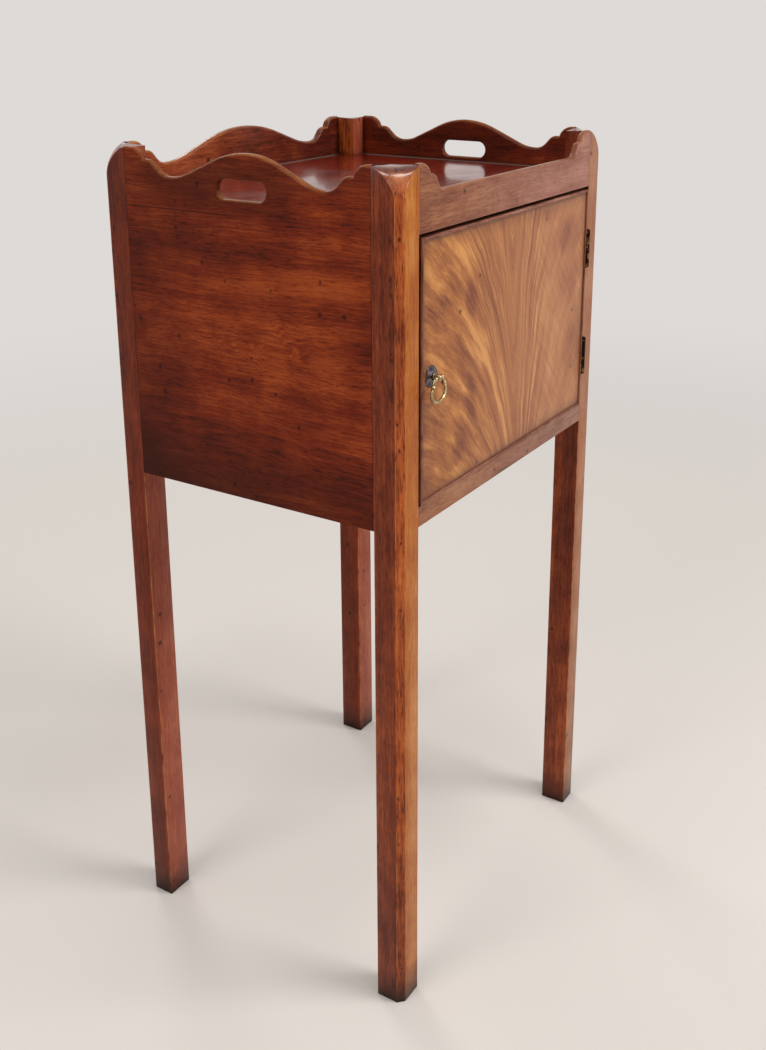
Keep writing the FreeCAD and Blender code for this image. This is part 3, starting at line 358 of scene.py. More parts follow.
for number, (node, inner_x, inner_y, sides, faces) in enumerate(POSTS):
    piece = copy_of(node, node + "_eased")
    for height in (CASE_BOTTOM, RAIL_TOP, DOOR_HEAD):
        bpy.ops.mesh.select_all(action="SELECT")
        bpy.ops.mesh.bisect(plane_co=(0, 0, height), plane_no=(0, 0, 1))
    bpy.ops.mesh.select_mode(type="EDGE")
    bpy.ops.mesh.select_all(action="DESELECT")
    skin = bmesh.from_edit_mesh(piece.data)
    for edge in skin.edges:
        edge.select_set(free_arris(edge, inner_x, inner_y, node == "post_front_left"))
    bmesh.update_edit_mesh(piece.data)
    bpy.ops.mesh.bevel(offset=ARRIS_ROUND, segments=2, affect="EDGES")
    bpy.ops.object.mode_set(mode="OBJECT")
    bpy.ops.object.shade_smooth_by_angle(angle=SHARP)
    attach(piece, "carcase")
    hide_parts(node)

    # Polished mahogany that the sun and hands have had for long: red sides, a paler front, a shiny scoop.
    material, tree, shader, tone = mahogany(
        "polished mahogany " + node, GRAIN["z"], (0.31 * number, 0.17 * number, 0.4), wave=0.6
    )
    coords = add(tree, "TexCoord").outputs
    facing = add(tree, "SeparateXYZ", {0: coords["Normal"]}).outputs
    where = add(tree, "SeparateXYZ", {0: coords["Object"]}).outputs
    front = add(tree, "MapRange", {0: facing["Y"], 1: -TURNED_SLIGHTLY, 2: -TURNED_FULLY})
    colour = tinted(tree, tone, sides)
    colour = add(tree, "Mix", {0: front, 6: colour, 7: tinted(tree, tone, faces)}, data_type="RGBA")
    # Painted light: above the tray, the rear right post's left-facing inner face is painted a bright
    # orange, the colour of a lit face, beside its darker front-facing face.
    if node == "post_rear_right":
        over_tray = add(tree, "Math", {0: where["Z"], 1: TRAY_TOP}, operation="GREATER_THAN")
        left = add(tree, "MapRange", {0: facing["X"], 1: -TURNED_SLIGHTLY, 2: -TURNED_FULLY})
        rubbed_and_lit = add(tree, "Math", {0: over_tray, 1: left}, operation="MULTIPLY")
        colour = add(tree, "Mix", {0: rubbed_and_lit, 6: colour, 7: tinted(tree, tone, CHAMFER)}, data_type="RGBA")
    scooped = add(tree, "MapRange", {0: facing["Z"], 1: 0.1, 2: 0.35})
    colour = add(tree, "Mix", {0: scooped, 6: colour, 7: tinted(tree, tone, SCOOP)}, data_type="RGBA")
    shine = add(tree, "MapRange", {0: scooped, 3: 0.14, 4: 0.75 if "front" in node else 0.35})
    give(tree, shader, {"Coat Weight": shine})

    # Gummy dark polish beside the chamfer, most of it where hands reach.
    corner = add(tree, "Math", {0: where["Y"]}, operation="ABSOLUTE")
    corner = line_at(tree, corner, STAIN_FRONT if "front" in node else STAIN_REAR, 6 * MM, 1.0)
    gummy = stretched_noise(tree, coords["Object"], (3.846 * MM, 3.846 * MM, 16.67 * MM), 5.0, 0.75)
    gummy = add(tree, "MapRange", {0: gummy, 1: 0.47, 2: 0.6, 3: 0.0, 4: 0.8})
    handled = add(tree, "MapRange", {0: where["Z"], 1: 440 * MM, 2: 620 * MM, 3: 0.15, 4: 1.0})
    for factor in (handled, corner):
        gummy = add(tree, "Math", {0: gummy, 1: factor}, operation="MULTIPLY")
    colour = add(tree, "Mix", {0: gummy, 6: colour, 7: GRIME_AND_SHADE}, data_type="RGBA")

    # The chamfer, and the pale bare wood along its two edges.
    slant = add(tree, "Math", {0: facing["X"], 1: facing["Y"]}, operation="MULTIPLY")
    slant = add(tree, "Math", {0: slant}, operation="ABSOLUTE")
    bare = add(tree, "MapRange", {0: slant, 1: 0.12, 2: 0.35})
    colour = add(tree, "Mix", {0: bare, 6: colour, 7: tinted(tree, tone, CHAMFER)}, data_type="RGBA")
    patchy = add(tree, "TexNoise", {"Vector": coords["Object"], "Scale": 1 / (16.67 * MM), "Detail": 3.0})
    patchy = add(tree, "MapRange", {0: patchy, 1: 0.4, 2: 0.62, 3: 0.0, 4: 0.6})
    worn = line_at(tree, slant, 0.3, 0.19, 1.0)
    worn = add(tree, "Math", {0: worn, 1: patchy}, operation="MULTIPLY")
    colour = add(tree, "Mix", {0: worn, 6: colour, 7: WORN_EDGE}, data_type="RGBA")

    # The foot, black from mops and floor polish.
    foot = add(tree, "MapRange", {0: where["Z"], 1: 3 * MM, 2: 38 * MM, 3: 0.85, 4: 0.0})
    colour = add(tree, "Mix", {0: foot, 6: colour, 7: DARK_FOOT}, data_type="RGBA")
    finish_wood(piece, material, tree, shader, with_dents(tree, colour, 0.22))

# Side panels: one wide mahogany board each, with level grain, tongued into the posts. The middle has a
# nested figure, the bottom and the back are painted darker as shade, and small dents and a shrinkage crack
# have filled with dirt.

PANEL = ("#3e1007", "#752810", "#a0481e")
PANEL_DARK = linear("#2e0d06")
RUBBED_TOP = ("#5c2c15", "#8f5229", "#b07843")
DUST = linear("#b3a49c")
SWIRL_BACK = 31.9 * MM
SWIRL_HEIGHT = 622.0 * MM
SWIRL_SPACING = 4.0 * MM
SWIRL_SQUEEZE = 3.0
CRACK_HEIGHT = 734.4 * MM
LIGHT_SPOTS = (
    ((0, -0.010, 0.650), (0, 0.13, 0.06), 0.22), ((0, -0.080, 0.690), (0, 0.08, 0.06), 0.2),
    ((0, -0.060, 0.600), (0, 0.10, 0.04), 0.2), ((0, 0.060, 0.772), (0, 0.06, 0.02), 0.2),
)
# Soft dark patches of painted shade, heaviest low down, towards the back and under the top edge: centre,
# reach and strength.
DARK_SPOTS = (
    ((0, 0.105, 0.705), (0, 0.15, 0.07), 0.35), ((0, 0.10, 0.466), (0, 0.26, 0.10), 0.85),
    ((0, -0.10, 0.478), (0, 0.14, 0.06), 0.35), ((0, 0.130, 0.560), (0, 0.08, 0.16), 0.4),
    ((0, -0.110, 0.770), (0, 0.05, 0.03), 0.3), ((0, 0.040, 0.766), (0, 0.19, 0.045), 0.6),
)


def soft_spot(tree, place, centre, reach, strength):
    """A round or oval patch that fades out over its reach along each axis. A reach of nought leaves that
    axis out."""
    scale = tuple(1 / r if r else 0.0 for r in reach)
    away = add(tree, "VectorMath", {0: place, 1: centre}, operation="SUBTRACT")
    away = add(tree, "VectorMath", {0: away, 1: scale}, operation="MULTIPLY")
    away = add(tree, "VectorMath", {0: away}, operation="LENGTH").outputs["Value"]
    return add(
        tree, "MapRange", {0: away, 1: 0.1, 2: 1.0, 3: strength, 4: 0.0}, interpolation_type="SMOOTHSTEP"
    )


def nested_arches(tree, coords, where):
    """Fine arches one inside the other, open to the front, wavy and broken, as a tone to add."""
    back = add(tree, "Math", {0: where["Y"], 1: SWIRL_BACK}, operation="SUBTRACT")
    high = add(tree, "Math", {0: where["Z"], 1: SWIRL_HEIGHT}, operation="SUBTRACT")
    steep = add(tree, "Math", {0: high, 1: SWIRL_SQUEEZE}, operation="MULTIPLY")
    flat = add(tree, "CombineXYZ", {0: back, 1: steep})
    arch = add(tree, "VectorMath", {0: flat}, operation="LENGTH").outputs["Value"]
    arch = add(tree, "Math", {0: arch, 1: back}, operation="ADD")
    wobble = add(tree, "TexNoise", {"Vector": coords["Object"], "Scale": 1 / (26.32 * MM), "Detail": 5.0})
    wobble = add(tree, "MapRange", {0: wobble, 3: -26 * MM, 4: 26 * MM})
    arch = add(tree, "Math", {0: arch, 1: wobble}, operation="ADD")
    turns = add(tree, "Math", {0: arch, 1: math.pi / SWIRL_SPACING}, operation="MULTIPLY")
    crest = add(tree, "Math", {0: turns}, operation="SINE")
    crest = add(tree, "MapRange", {0: crest, 1: 0.0, 2: 1.0, 3: -0.06, 4: 0.3})
    ahead = add(tree, "MapRange", {0: back, 1: -150 * MM, 2: -60 * MM}, interpolation_type="SMOOTHSTEP")
    outside = add(tree, "MapRange", {0: arch, 1: 35 * MM, 2: 105 * MM}, interpolation_type="SMOOTHSTEP")
    inside = add(tree, "Math", {0: 1.0, 1: outside}, operation="SUBTRACT")
    broken = add(tree, "TexNoise", {"Vector": coords["Object"], "Scale": 1 / (22.22 * MM), "Detail": 3.0})
    broken = add(tree, "MapRange", {0: broken, 1: 0.4, 2: 0.6})
    for factor in (inside, ahead, broken):
        crest = add(tree, "Math", {0: crest, 1: factor}, operation="MULTIPLY")
    return crest


def with_line(tree, colour, value, centre, half, strength, shade=GRIME_AND_SHADE):
    """A colour with a soft line of another shade, where a value passes a centre."""
    line = line_at(tree, value, centre, half, strength)
    return add(tree, "Mix", {0: line, 6: colour, 7: shade}, data_type="RGBA")


def with_rubbed_top(tree, colour, tone, up):
    """A colour that hands have worn paler on the edges that face up."""
    rubbed_and_lit = add(tree, "MapRange", {0: up, 1: 0.15, 2: 0.8, 3: 0.0, 4: 0.75})
    return add(tree, "Mix", {0: rubbed_and_lit, 6: colour, 7: tinted(tree, tone, RUBBED_TOP)}, data_type="RGBA")


def with_dust(tree, colour, height, inner):
    """A colour with a grey line of dust on a board's inner face, along the tray."""
    dust = line_at(tree, height, TRAY_TOP, 1.1 * MM, 0.6)
    dust = add(tree, "Math", {0: dust, 1: inner}, operation="MULTIPLY")
    return add(tree, "Mix", {0: dust, 6: colour, 7: DUST}, data_type="RGBA")


for side, drift, inward in (("left", 0.0, 1.0), ("right", 0.6, -1.0)):
    # Polished mahogany with a thin, tired polish: deep red-brown, hardly any mirror, lighter in the middle.
    material, tree, shader, tone = mahogany(
        "polished mahogany side " + side, GRAIN["y"], (drift, 0.2, 0.1), contrast=0.75, wave=1.3
    )
    give(tree, shader, {"Coat Weight": 0.07, "Specular IOR Level": 0.06})
    coords = add(tree, "TexCoord").outputs
    facing = add(tree, "SeparateXYZ", {0: coords["Normal"]}).outputs
    where = add(tree, "SeparateXYZ", {0: coords["Object"]}).outputs
    uneven = add(tree, "TexNoise", {"Vector": coords["Object"], "Scale": 1 / (111 * MM), "Detail": 3.0})
    uneven = swayed(tree, coords["Object"], uneven, (0, 110 * MM, 70 * MM))
    for centre, reach, strength in LIGHT_SPOTS:
        spot = soft_spot(tree, uneven, centre, reach, strength)
        tone = add(tree, "Math", {0: tone, 1: spot}, operation="ADD")
    tone = add(tree, "Math", {0: tone, 1: nested_arches(tree, coords, where)}, operation="ADD")
    colour = tinted(tree, tone, PANEL)
    # Painted shade: the panel darkened in soft patches, heaviest low down, towards the back and under the
    # top edge.
    for centre, reach, strength in DARK_SPOTS:
        spot = soft_spot(tree, uneven, centre, reach, strength)
        colour = add(tree, "Mix", {0: spot, 6: colour, 7: PANEL_DARK}, data_type="RGBA")
    if side == "left":
        crack = line_at(tree, where["Z"], CRACK_HEIGHT, 0.9 * MM, 0.75)
        opening = add(tree, "MapRange", {0: where["Y"], 1: 8 * MM, 2: 30 * MM})
        crack = add(tree, "Math", {0: crack, 1: opening}, operation="MULTIPLY")
        colour = add(tree, "Mix", {0: crack, 6: colour, 7: GRIME_AND_SHADE}, data_type="RGBA")
    for seam in (INNER_FRONT, INNER_REAR):
        colour = with_line(tree, colour, where["Y"], seam, 1.2 * MM, 0.75)
    colour = with_dents(tree, colour, 0.26)
    colour = with_rubbed_top(tree, colour, tone, facing["Z"])
    inner = add(tree, "MapRange", {0: facing["X"], 1: TURNED_SLIGHTLY * inward, 2: TURNED_FULLY * inward})
    colour = with_dust(tree, colour, where["Z"], inner)
    finish_wood(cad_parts["side_panel_" + side], material, tree, shader, colour)

# Rear gallery board, front top rail and front bottom rail: mahogany with level grain, tongued or tenoned
# into the posts. The two front ones have faded and have a hazy polish, and their right ends are painted
# paler and greyer, as a painted sheen of reflected light.

TOP_RAIL_INSIDE = ("#4c1a0c", "#7a331a", "#985032")
BOARDS = (
    (
        "rear_gallery_board", (0.2, 0.7, 0.3), 0.85, 0.2,
        ("#52200f", "#8c3e20", "#b26038"), ("#2e0e08", "#5c2114", "#8c4426"),
    ),
    (
        "front_top_rail", (0.9, 0.1, 0.6), 0.9, 0.3,
        ("#67321b", "#884e30", "#a56f4b"), ("#824b36", "#996453", "#ad7865"),
    ),
    (
        "front_bottom_rail", (0.5, 0.5, 0.9), 1.0, 0.3,
        ("#6e3a20", "#935a38", "#a8724c"), ("#6c4232", "#8c5c4a", "#a0705c"),
    ),
)
for node, offset, contrast, haze, left_shades, right_shades in BOARDS:
    # Polished mahogany under a hazy coat, which lays a pale bloom over the stripes.
    material, tree, shader, tone = mahogany("polished mahogany " + node, GRAIN["x"], offset, contrast)
    give(tree, shader, {"Coat Weight": haze})
    coords = add(tree, "TexCoord").outputs
    facing = add(tree, "SeparateXYZ", {0: coords["Normal"]}).outputs
    where = add(tree, "SeparateXYZ", {0: coords["Object"]}).outputs
    # The colour runs from the left shades to the right ones. On the two front rails the paler, greyer right
    # end is a painted sheen of reflected light. The rear board's right end is only darker.
    rightward = add(tree, "MapRange", {0: where["X"], 1: -120 * MM, 2: 100 * MM})
    colour = tinted(tree, tone, left_shades)
    right = tinted(tree, tone, right_shades)
    colour = add(tree, "Mix", {0: rightward, 6: colour, 7: right}, data_type="RGBA")
    if node == "front_top_rail":
        behind = add(tree, "MapRange", {0: facing["Y"], 1: -0.2, 2: 0.3})
        unfaded = tinted(tree, tone, TOP_RAIL_INSIDE)
        colour = add(tree, "Mix", {0: behind, 6: colour, 7: unfaded}, data_type="RGBA")
    colour = with_rubbed_top(tree, colour, tone, facing["Z"])
    for seam in (INNER_LEFT, INNER_RIGHT):
        colour = with_line(tree, colour, where["X"], seam, 0.9 * MM, 0.6)
    if node == "rear_gallery_board":
        inner = add(tree, "MapRange", {0: facing["Y"], 1: -TURNED_SLIGHTLY, 2: -TURNED_FULLY})
        colour = with_dust(tree, colour, where["Z"], inner)
    colour = with_dents(tree, colour, 0.2)
    finish_wood(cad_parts[node], material, tree, shader, colour, reach=14 * MM)

# Tray: one mahogany board, notched round the posts and laid on bearers. It is the reddest of all and the
# glossiest, as it has been polished most.

TRAY = ("#501409", "#7e2212", "#9c3c1e")

# French polished mahogany: a deep red under a clear film that mirrors the posts and the gallery.
material, tree, shader, tone = mahogany(
    "french polished mahogany tray", GRAIN["x"], (0.15, 0.35, 0.5), contrast=0.8, gloss=0.16
)
give(tree, shader, {"Specular IOR Level": 0.5, "Coat Weight": 0.5, "Coat Roughness": 0.08})
colour = tinted(tree, tone, TRAY)
finish_wood(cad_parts["tray_board"], material, tree, shader, colour, depth=0.85)

# Unpolished inside: the cupboard's floor, the bearers and glue blocks under floor and tray, the thin back
# and the door stop, planed from plain pale wood, glued and nailed, and never polished.

PALE_WOOD = ("#835a39", "#a0744b", "#b88c60")
INSIDE = {
    "x": (
        "cupboard_floor", "rear_bottom_rail", "back_panel", "door_stop", "tray_glue_blocks",
        "floor_glue_blocks",
    ),
    "y": ("tray_bearer_left", "tray_bearer_right", "floor_bearer_left", "floor_bearer_right"),
}
for turn, nodes in INSIDE.items():
    for node in nodes:
        # Bare planed wood: a dull yellow-brown with soft stripes and no shine at all.
        material, tree, shader, tone = mahogany(
            "unfinished pale wood " + node, GRAIN[turn], (0.3, 0.1, 0.2), contrast=0.8, gloss=0.7
        )
        give(tree, shader, {"Coat Weight": 0.0})
        finish_wood(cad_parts[node], material, tree, shader, tinted(tree, tone, PALE_WOOD), depth=0.5)

# Door: a mahogany board, and a mitred cock bead glued into a rebate round its edge, proud of the face and
# redder than it.

DOOR_BOARD = ("#42160a", "#6e2a10", "#8c431c")
BEAD = ("#552a1b", "#8a5340", "#ad7964")

# Polished mahogany that has seen little light: dark red, with upright stripes.
material, tree, shader, tone = mahogany("polished mahogany door edge", GRAIN["z"], (0.7, 0.3, 0.2))
finish_wood(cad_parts["door_board"], material, tree, shader, tinted(tree, tone, DOOR_BOARD))

for side, turn in (("top", "x"), ("bottom", "x"), ("left", "z"), ("right", "z")):
    # Polished mahogany bead: a thin rosy line round the veneer, black in its corners with painted shade
    # and grime.
    material, tree, shader, tone = mahogany("polished mahogany bead " + side, GRAIN[turn], (0.1, 0.6, 0.8))
    colour = tinted(tree, tone, BEAD)
    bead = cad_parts["door_bead_" + side]
    finish_wood(bead, material, tree, shader, colour, reach=5 * MM, depth=0.85)

# Door veneer: a sheet of flame mahogany, glued on, and cut where the trunk forks, so that its streaks rise
# from a plain upright axis and fan out to both sides. It shows as satin gold on brown, darker at the edges.

VENEER_LEFT_GOLD = ("#74391f", "#a3622f", "#d08e4a")
VENEER_RIGHT_SHEEN = ("#80482f", "#a96d46", "#cc9462")
VENEER_MARGIN = linear("#5a2f1c")
MARGIN_IN = 0.5 * MM
AXIS_FOOT = 12.6 * MM
AXIS_LEAN = -0.0769
AXIS_WIDTH = 7.3 * MM
FAN_LEFT = 96.4 * MM
FAN_RIGHT = 146.0 * MM
CROSS_TURN = math.radians(52)
STREAKS = (
    (14 * MM, 3 * MM, 0.25), (3.5 * MM, 5 * MM, 0.4), (-9 * MM, 3 * MM, -0.3), (-24 * MM, 3 * MM, 0.3),
    (-41 * MM, 5 * MM, 0.4), (-55 * MM, 5 * MM, -0.35), (-96 * MM, 13 * MM, 0.4), (-128 * MM, 7 * MM, -0.3),
    (-165 * MM, 7 * MM, 0.35), (-181 * MM, 6 * MM, -0.3), (-196 * MM, 7 * MM, 0.35),
    (-222 * MM, 9 * MM, -0.25), (-309 * MM, 8 * MM, 0.3),
)
FLAME_SPOTS = (
    ((-0.100, 0, 0.700), (0.050, 0, 0.035), 0.25), ((-0.125, 0, 0.672), (0.020, 0, 0.014), -0.25),
    ((-0.078, 0, 0.660), (0.016, 0, 0.030), -0.3), ((-0.115, 0, 0.645), (0.035, 0, 0.020), 0.25),
    ((-0.055, 0, 0.610), (0.030, 0, 0.030), 0.25), ((-0.078, 0, 0.575), (0.014, 0, 0.035), -0.35),
    ((-0.112, 0, 0.550), (0.025, 0, 0.030), 0.2), ((-0.098, 0, 0.526), (0.016, 0, 0.014), -0.35),
    ((-0.100, 0, 0.508), (0.030, 0, 0.010), 0.25), ((-0.150, 0, 0.520), (0.016, 0, 0.020), -0.3),
    ((0.080, 0, 0.600), (0.055, 0, 0.075), 0.22), ((0.120, 0, 0.690), (0.050, 0, 0.030), -0.3),
    ((0.070, 0, 0.715), (0.040, 0, 0.016), -0.25), ((0.140, 0, 0.560), (0.030, 0, 0.050), -0.2),
    ((0.150, 0, 0.640), (0.014, 0, 0.050), 0.15), ((0.030, 0, 0.520), (0.040, 0, 0.030), -0.12),
)

veneer_low, veneer_high = box_of("door_veneer")

# Flame mahogany: a silky sheet whose gold streaks seem to lie under the satin polish.
material, tree, shader = new_material(
    "flame mahogany veneer",
    {"Specular IOR Level": 0.15, "Coat Weight": 0.2, "Coat Roughness": 0.16, "Roughness": 0.38},
)
coords = add(tree, "TexCoord").outputs
plain = add(tree, "SeparateXYZ", {0: coords["Object"]}).outputs
blur = add(tree, "TexNoise", {"Vector": coords["Object"], "Scale": 1 / (55.6 * MM), "Detail": 3.0})
blur = swayed(tree, coords["Object"], blur, (10 * MM, 0, 10 * MM))
where = add(tree, "SeparateXYZ", {0: blur}).outputs

# The streaks' run: how far each point lies across them, along them, and aside from the leaning axis.
height = add(tree, "Math", {0: where["Z"], 1: veneer_low.z}, operation="SUBTRACT")
axis = add(tree, "Math", {0: height, 1: AXIS_LEAN, 2: AXIS_FOOT}, operation="MULTIPLY_ADD")
aside = add(tree, "Math", {0: where["X"], 1: axis}, operation="SUBTRACT")
square = add(tree, "Math", {0: aside, 1: aside}, operation="MULTIPLY")
square = add(tree, "Math", {0: square, 1: AXIS_WIDTH ** 2}, operation="ADD")
spread = add(tree, "Math", {0: square}, operation="SQRT")
spread = add(tree, "Math", {0: spread, 1: AXIS_WIDTH}, operation="DIVIDE")
spread = add(tree, "Math", {0: spread, 1: math.e}, operation="LOGARITHM")
fan = add(tree, "MapRange", {0: aside, 1: -30 * MM, 2: 30 * MM, 3: FAN_LEFT, 4: FAN_RIGHT})
fall = add(tree, "Math", {0: spread, 1: fan}, operation="MULTIPLY")
across = add(tree, "Math", {0: height, 1: fall}, operation="SUBTRACT")
along = add(tree, "Math", {0: square, 1: 2 * FAN_LEFT}, operation="DIVIDE")
along = add(tree, "Math", {0: along, 1: height}, operation="ADD")
flow = add(tree, "CombineXYZ", {0: across, 1: along, 2: aside})

# Where the streaks fade: near the plain axis, and out to the right of it.
clear = add(tree, "Math", {0: aside}, operation="ABSOLUTE")
clear = add(
    tree, "MapRange", {0: clear, 1: 0.0, 2: 26 * MM, 3: 0.25, 4: 1.0}, interpolation_type="SMOOTHSTEP"
)
glow = add(
    tree, "MapRange", {0: aside, 1: 30 * MM, 2: 80 * MM, 3: 1.0, 4: 0.2}, interpolation_type="SMOOTHSTEP"
)

# The tone: broad bands, then narrow ones with the main streaks, then hairs 2 mm apart, which are coarser
# than real ones so that they show.
broad = stretched_noise(tree, flow, (38.5 * MM, 143 * MM, 111 * MM), 3.0)
tone = add(tree, "MapRange", {0: broad, 1: 0.25, 2: 0.75, 3: 0.2, 4: 0.7})
narrow = stretched_noise(tree, flow, (11.1 * MM, 100 * MM, 71.4 * MM), 5.0, 0.62)
detail = add(tree, "MapRange", {0: narrow, 1: 0.25, 2: 0.75, 3: -0.42, 4: 0.42})
fading = stretched_noise(tree, flow, (71.4 * MM, 45.5 * MM, 50 * MM))
fading = add(tree, "MapRange", {0: fading, 1: 0.36, 2: 0.6, 3: 0.25, 4: 1.0})
for centre, half, strength in STREAKS:
    band = line_at(tree, across, centre, half, strength)
    band = add(tree, "Math", {0: band, 1: fading}, operation="MULTIPLY")
    detail = add(tree, "Math", {0: detail, 1: band}, operation="ADD")
for factor in (glow, clear):
    detail = add(tree, "Math", {0: detail, 1: factor}, operation="MULTIPLY")
hair = stretched_noise(tree, flow, (2.17 * MM, 38.5 * MM, 11.1 * MM))
hair = add(tree, "MapRange", {0: hair, 1: 0.25, 2: 0.75, 3: -0.16, 4: 0.16})
hair = add(tree, "Math", {0: hair, 1: glow}, operation="MULTIPLY")

# Faint lines that cross the streaks on the right, and pores like fine dust, drawn 1 mm apart, again coarser
# than real ones so that they show.
crossing = add(tree, "Mapping", {0: coords["Object"], "Rotation": (0, -CROSS_TURN, 0)})
crossing = add(
    tree, "VectorMath", {0: crossing, 1: (1 / (50 * MM), 0, 1 / (5.26 * MM))}, operation="MULTIPLY"
)
crossing = add(tree, "TexNoise", {"Vector": crossing, "Scale": 1.0, "Detail": 4.0, "Roughness": 0.6})
crossing = add(tree, "MapRange", {0: crossing, 1: 0.3, 2: 0.7, 3: -0.13, 4: 0.13})
right = add(tree, "MapRange", {0: aside, 1: 20 * MM, 2: 60 * MM, 3: 0.25, 4: 1.0})
crossing = add(tree, "Math", {0: crossing, 1: right}, operation="MULTIPLY")
speck = add(tree, "TexNoise", {"Vector": coords["Object"], "Scale": 1 / (1.11 * MM), "Detail": 2.0})
speck = add(tree, "MapRange", {0: speck, 1: 0.3, 2: 0.7, 3: 0.08, 4: -0.08})
for part in (detail, hair, crossing, speck):
    tone = add(tree, "Math", {0: tone, 1: part}, operation="ADD")
for centre, reach, strength in FLAME_SPOTS:
    spot = soft_spot(tree, blur, centre, reach, strength)
    tone = add(tree, "Math", {0: tone, 1: spot}, operation="ADD")

# The colour: gold on the left, paler and greyer on the right as a painted sheen of reflected light, and
# dark at the margins where polish has gathered.
rightward = add(tree, "MapRange", {0: plain["X"], 1: -110 * MM, 2: 80 * MM})
colour = tinted(tree, tone, VENEER_LEFT_GOLD)
pale = tinted(tree, tone, VENEER_RIGHT_SHEEN)
colour = add(tree, "Mix", {0: rightward, 6: colour, 7: pale}, data_type="RGBA")
for value, edge in (
    (plain["X"], veneer_low.x + MARGIN_IN), (plain["X"], veneer_high.x - MARGIN_IN),
    (plain["Z"], veneer_low.z + MARGIN_IN), (plain["Z"], veneer_high.z - MARGIN_IN),
):
    for reach, strength in ((15 * MM, 0.35), (4 * MM, 0.6)):
        colour = with_line(tree, colour, value, edge, reach, strength, VENEER_MARGIN)
colour = with_dents(tree, colour, 0.1)
finish_wood(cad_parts["door_veneer"], material, tree, shader, colour, reach=12 * MM)

# Hinges: two cast brass butts, let into post and door, with a driven pin. They have gone nearly black,
# and only the rubbed spots still shine.


def old_brass(name, patch, spread, shades, rough):
    """Brass in two shades, as tarnish and rubbing leave it, in patches of one size, as (material, tree,
    shader, colour). The spread is how the noise is cut, and rough is the roughness of each shade."""
    material, tree, shader = new_material(name, {"Metallic": 1.0})
    coords = add(tree, "TexCoord").outputs
    stain = add(tree, "TexNoise", {"Vector": coords["Object"], "Scale": 1 / patch, "Detail": 4.0})
    stain = add(tree, "MapRange", {0: stain, 1: spread[0], 2: spread[1]})
    first, second = (linear(shade) for shade in shades)
    colour = add(tree, "Mix", {0: stain, 6: first, 7: second}, data_type="RGBA")
    rough = add(tree, "MapRange", {0: stain, 3: rough[0], 4: rough[1]})
    give(tree, shader, {"Base Color": colour, "Roughness": rough})
    return material, tree, shader, colour


# Patinated brass: brown-black and dull, with small yellow glints.
material, tree, shader, colour = old_brass(
    "patinated brass", 3.846 * MM, (0.5, 0.66), ("#21160f", "#8f7440"), (0.6, 0.32)
)
for hinge in ("hinge_upper", "hinge_lower"):
    for part in ("post_leaf", "door_leaf", "pin"):
        dress(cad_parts[f"{hinge}_{part}"], material)

# Handle: a domed backplate let on to the door, a ball-ended spindle through it, and a drop ring hung in the
# ball's sides. All are cast brass turned in a lathe: the plate gone blue-black, the rest worn bright.

BALL_RADIUS = 3.15 * MM
NECK_ANGLE = 149.5
BALL_STEPS = 14
PLATE_PROFILE = (
    (9.6, 0.0), (9.6, -0.35), (9.35, -0.7), (8.95, -0.8), (8.6, -0.68), (8.3, -0.8), (7.2, -1.35),
    (5.8, -1.95), (4.4, -2.45), (3.2, -2.8), (2.6, -2.97), (2.3, -2.95), (2.1, -2.6),
)
SPINDLE_PROFILE = (
    (1.5, 2.85), (1.6, 3.0), (2.5, 3.02), (3.1, 3.2), (3.3, 3.6), (3.1, 3.98), (2.5, 4.18), (2.0, 4.2),
    (2.0, 23.8), (1.4, 23.8), (1.4, 26.8), (1.3, 26.8), (1.3, 29.1), (1.1, 29.3),
)
RING_HALF = (
    (1.4, 0.0, 0.9), (3.2, 0.0, 0.9), (3.5, 0.0, 1.8), (4.5, -0.05, 2.2), (5.6, -0.4, 1.8),
    (6.7, -1.3, 1.25), (7.6, -2.9, 1.1), (8.2, -4.5, 1.15), (8.45, -5.2, 1.9), (8.75, -6.1, 2.2),
    (9.05, -6.9, 1.9), (9.3, -7.4, 1.1), (9.6, -7.9, 1.65), (9.95, -8.3, 1.1), (11.1, -9.8, 1.15),
    (11.6, -12.0, 1.25), (11.2, -14.3, 1.3), (10.05, -16.45, 1.4), (8.2, -18.3, 1.45), (5.8, -19.7, 1.5),
    (3.0, -20.6, 1.5),
)
RING_FOOT = (0.0, -20.9, 1.5)


def close_skin(smooth):
    """Merges the doubles of the piece in edit mode, turns its faces outwards and smooths it."""
    bpy.ops.mesh.select_all(action="SELECT")
    bpy.ops.mesh.remove_doubles(threshold=NEAR / 8)
    bpy.ops.mesh.normals_make_consistent(inside=False)
    bpy.ops.object.mode_set(mode="OBJECT")
    bpy.ops.object.shade_smooth_by_angle(angle=math.radians(smooth))


def turned(name, centre, profile, sides=40):
    """A piece turned on a level axis that runs to the back: each ring of the profile is its radius and its
    place along the axis, in millimetres."""
    radius, place = profile[0]
    bpy.ops.mesh.primitive_circle_add(
        vertices=sides, radius=radius * MM, fill_type="NGON", rotation=(math.radians(90), 0, 0),
        location=centre + Vector((0, place * MM, 0)),
    )
    piece = bpy.context.object
    piece.name = name
    bpy.ops.object.transform_apply()
    bpy.ops.object.mode_set(mode="EDIT")
    for next_radius, next_place in profile[1:]:
        move = Vector((0, (next_place - place) * MM, 0))
        bpy.ops.mesh.extrude_region_move(TRANSFORM_OT_translate={"value": move})
        share = next_radius / radius
        bpy.ops.transform.resize(
            value=(share, 1, share), center_override=centre + Vector((0, next_place * MM, 0))
        )
        radius, place = next_radius, next_place
    close_skin(smooth=40)
    return piece


spindle_low, spindle_high = box_of("handle_spindle")
ball_centre = (spindle_low + spindle_high) / 2
ball_centre.y = spindle_low.y + BALL_RADIUS

bpy.ops.object.select_all(action="DESELECT")
plate = turned("handle_backplate_turned", Vector((ball_centre.x, FRONT, ball_centre.z)), PLATE_PROFILE)
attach(plate, "door")
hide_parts("handle_backplate")

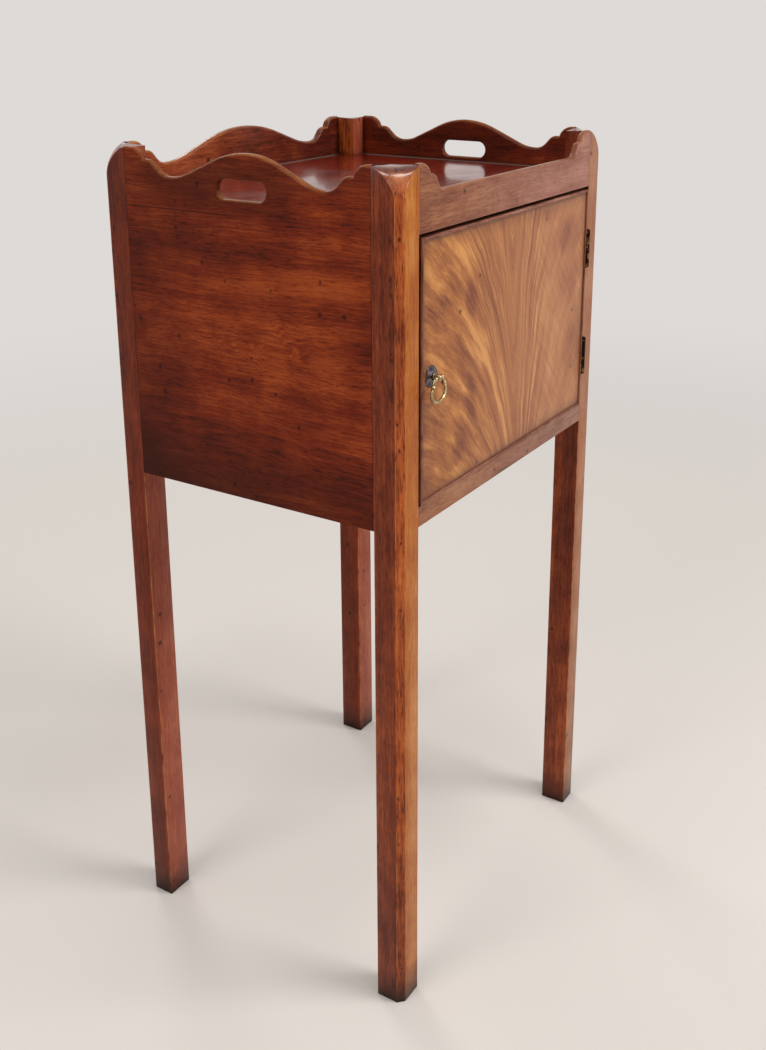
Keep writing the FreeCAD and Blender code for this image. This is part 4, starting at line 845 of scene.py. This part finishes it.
ball = []
for step in range(1, BALL_STEPS + 1):
    angle = math.radians(NECK_ANGLE * step / BALL_STEPS)
    ball.append((BALL_RADIUS / MM * math.sin(angle), -BALL_RADIUS / MM * math.cos(angle)))
spindle = turned("handle_spindle_turned", ball_centre, (*ball, *SPINDLE_PROFILE))
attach(spindle, "catch")
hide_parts("handle_spindle")

# The ring is a wire bent in a curve: each station is its place and the wire's radius, in millimetres.
bpy.ops.object.select_all(action="DESELECT")
bpy.ops.curve.primitive_bezier_curve_add(location=ball_centre)
ring = bpy.context.object
ring.name = "handle_ring_cast"
wire = ring.data.splines[0]
stations = [*RING_HALF, RING_FOOT, *((-x, z, thick) for x, z, thick in reversed(RING_HALF))]
wire.bezier_points.add(len(stations) - len(wire.bezier_points))
for point, (x, z, thick) in zip(wire.bezier_points, stations):
    point.co = Vector((x, 0, z)) * MM
    point.radius = thick
    point.handle_left_type = point.handle_right_type = "AUTO"
ring.data.bevel_depth = MM
ring.data.bevel_resolution = 6
ring.data.resolution_u = 6
ring.data.use_fill_caps = True
bpy.ops.object.convert(target="MESH")
bpy.ops.object.transform_apply()
bpy.ops.object.mode_set(mode="EDIT")
close_skin(smooth=50)
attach(ring, "ring")
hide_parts("handle_ring")

# Blued dark brass: a steely black gloss with browner rubbed spots.
material, tree, shader, colour = old_brass(
    "blued dark brass", 3.333 * MM, (0.4, 0.72), ("#45434f", "#8a7c76"), (0.18, 0.36)
)
plate.data.materials.append(material)

# Worn bright brass: pale gold where fingers rub it, brown where it is cloudy, and black in its hollows.
material, tree, shader, colour = old_brass(
    "worn bright brass", 3.125 * MM, (0.35, 0.65), ("#8a7350", "#cdb98e"), (0.38, 0.2)
)
hollow = add(tree, "AmbientOcclusion", {"Distance": 3 * MM}, samples=6)
tarnish = add(tree, "MapRange", {0: hollow.outputs["AO"], 1: 0.3, 2: 0.8, 3: 0.8, 4: 0.0})
colour = add(tree, "Mix", {0: tarnish, 6: colour, 7: linear("#1f1710")}, data_type="RGBA")
give(tree, shader, {"Base Color": colour})
for piece in (ring, spindle):
    piece.data.materials.append(material)

# Latch: a brass bar squared on to the spindle behind the door, and the nut that holds it there. Both have
# the finish of the ring, the worn bright brass.

for node in ("latch_bar", "spindle_nut"):
    dress(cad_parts[node], material)

# Screws and nails: iron. The screws lie countersunk in the hinge leaves, and the nails are driven through
# the foot of the back panel into the rear bottom rail.

# Dull iron: dark grey and matt, with a brown breath of rust in specks of 2 mm.
material, tree, shader = new_material("dull iron", {"Metallic": 1.0, "Roughness": 0.6})
coords = add(tree, "TexCoord").outputs
rust = add(tree, "TexNoise", {"Vector": coords["Object"], "Scale": 1 / (2 * MM), "Detail": 4.0})
colour = add(tree, "Mix", {0: rust, 6: linear("#3c3835"), 7: linear("#5a4334")}, data_type="RGBA")
give(tree, shader, {"Base Color": colour})
for node in ("hinge_screws_post", "hinge_screws_door", "back_nails"):
    dress(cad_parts[node], material)
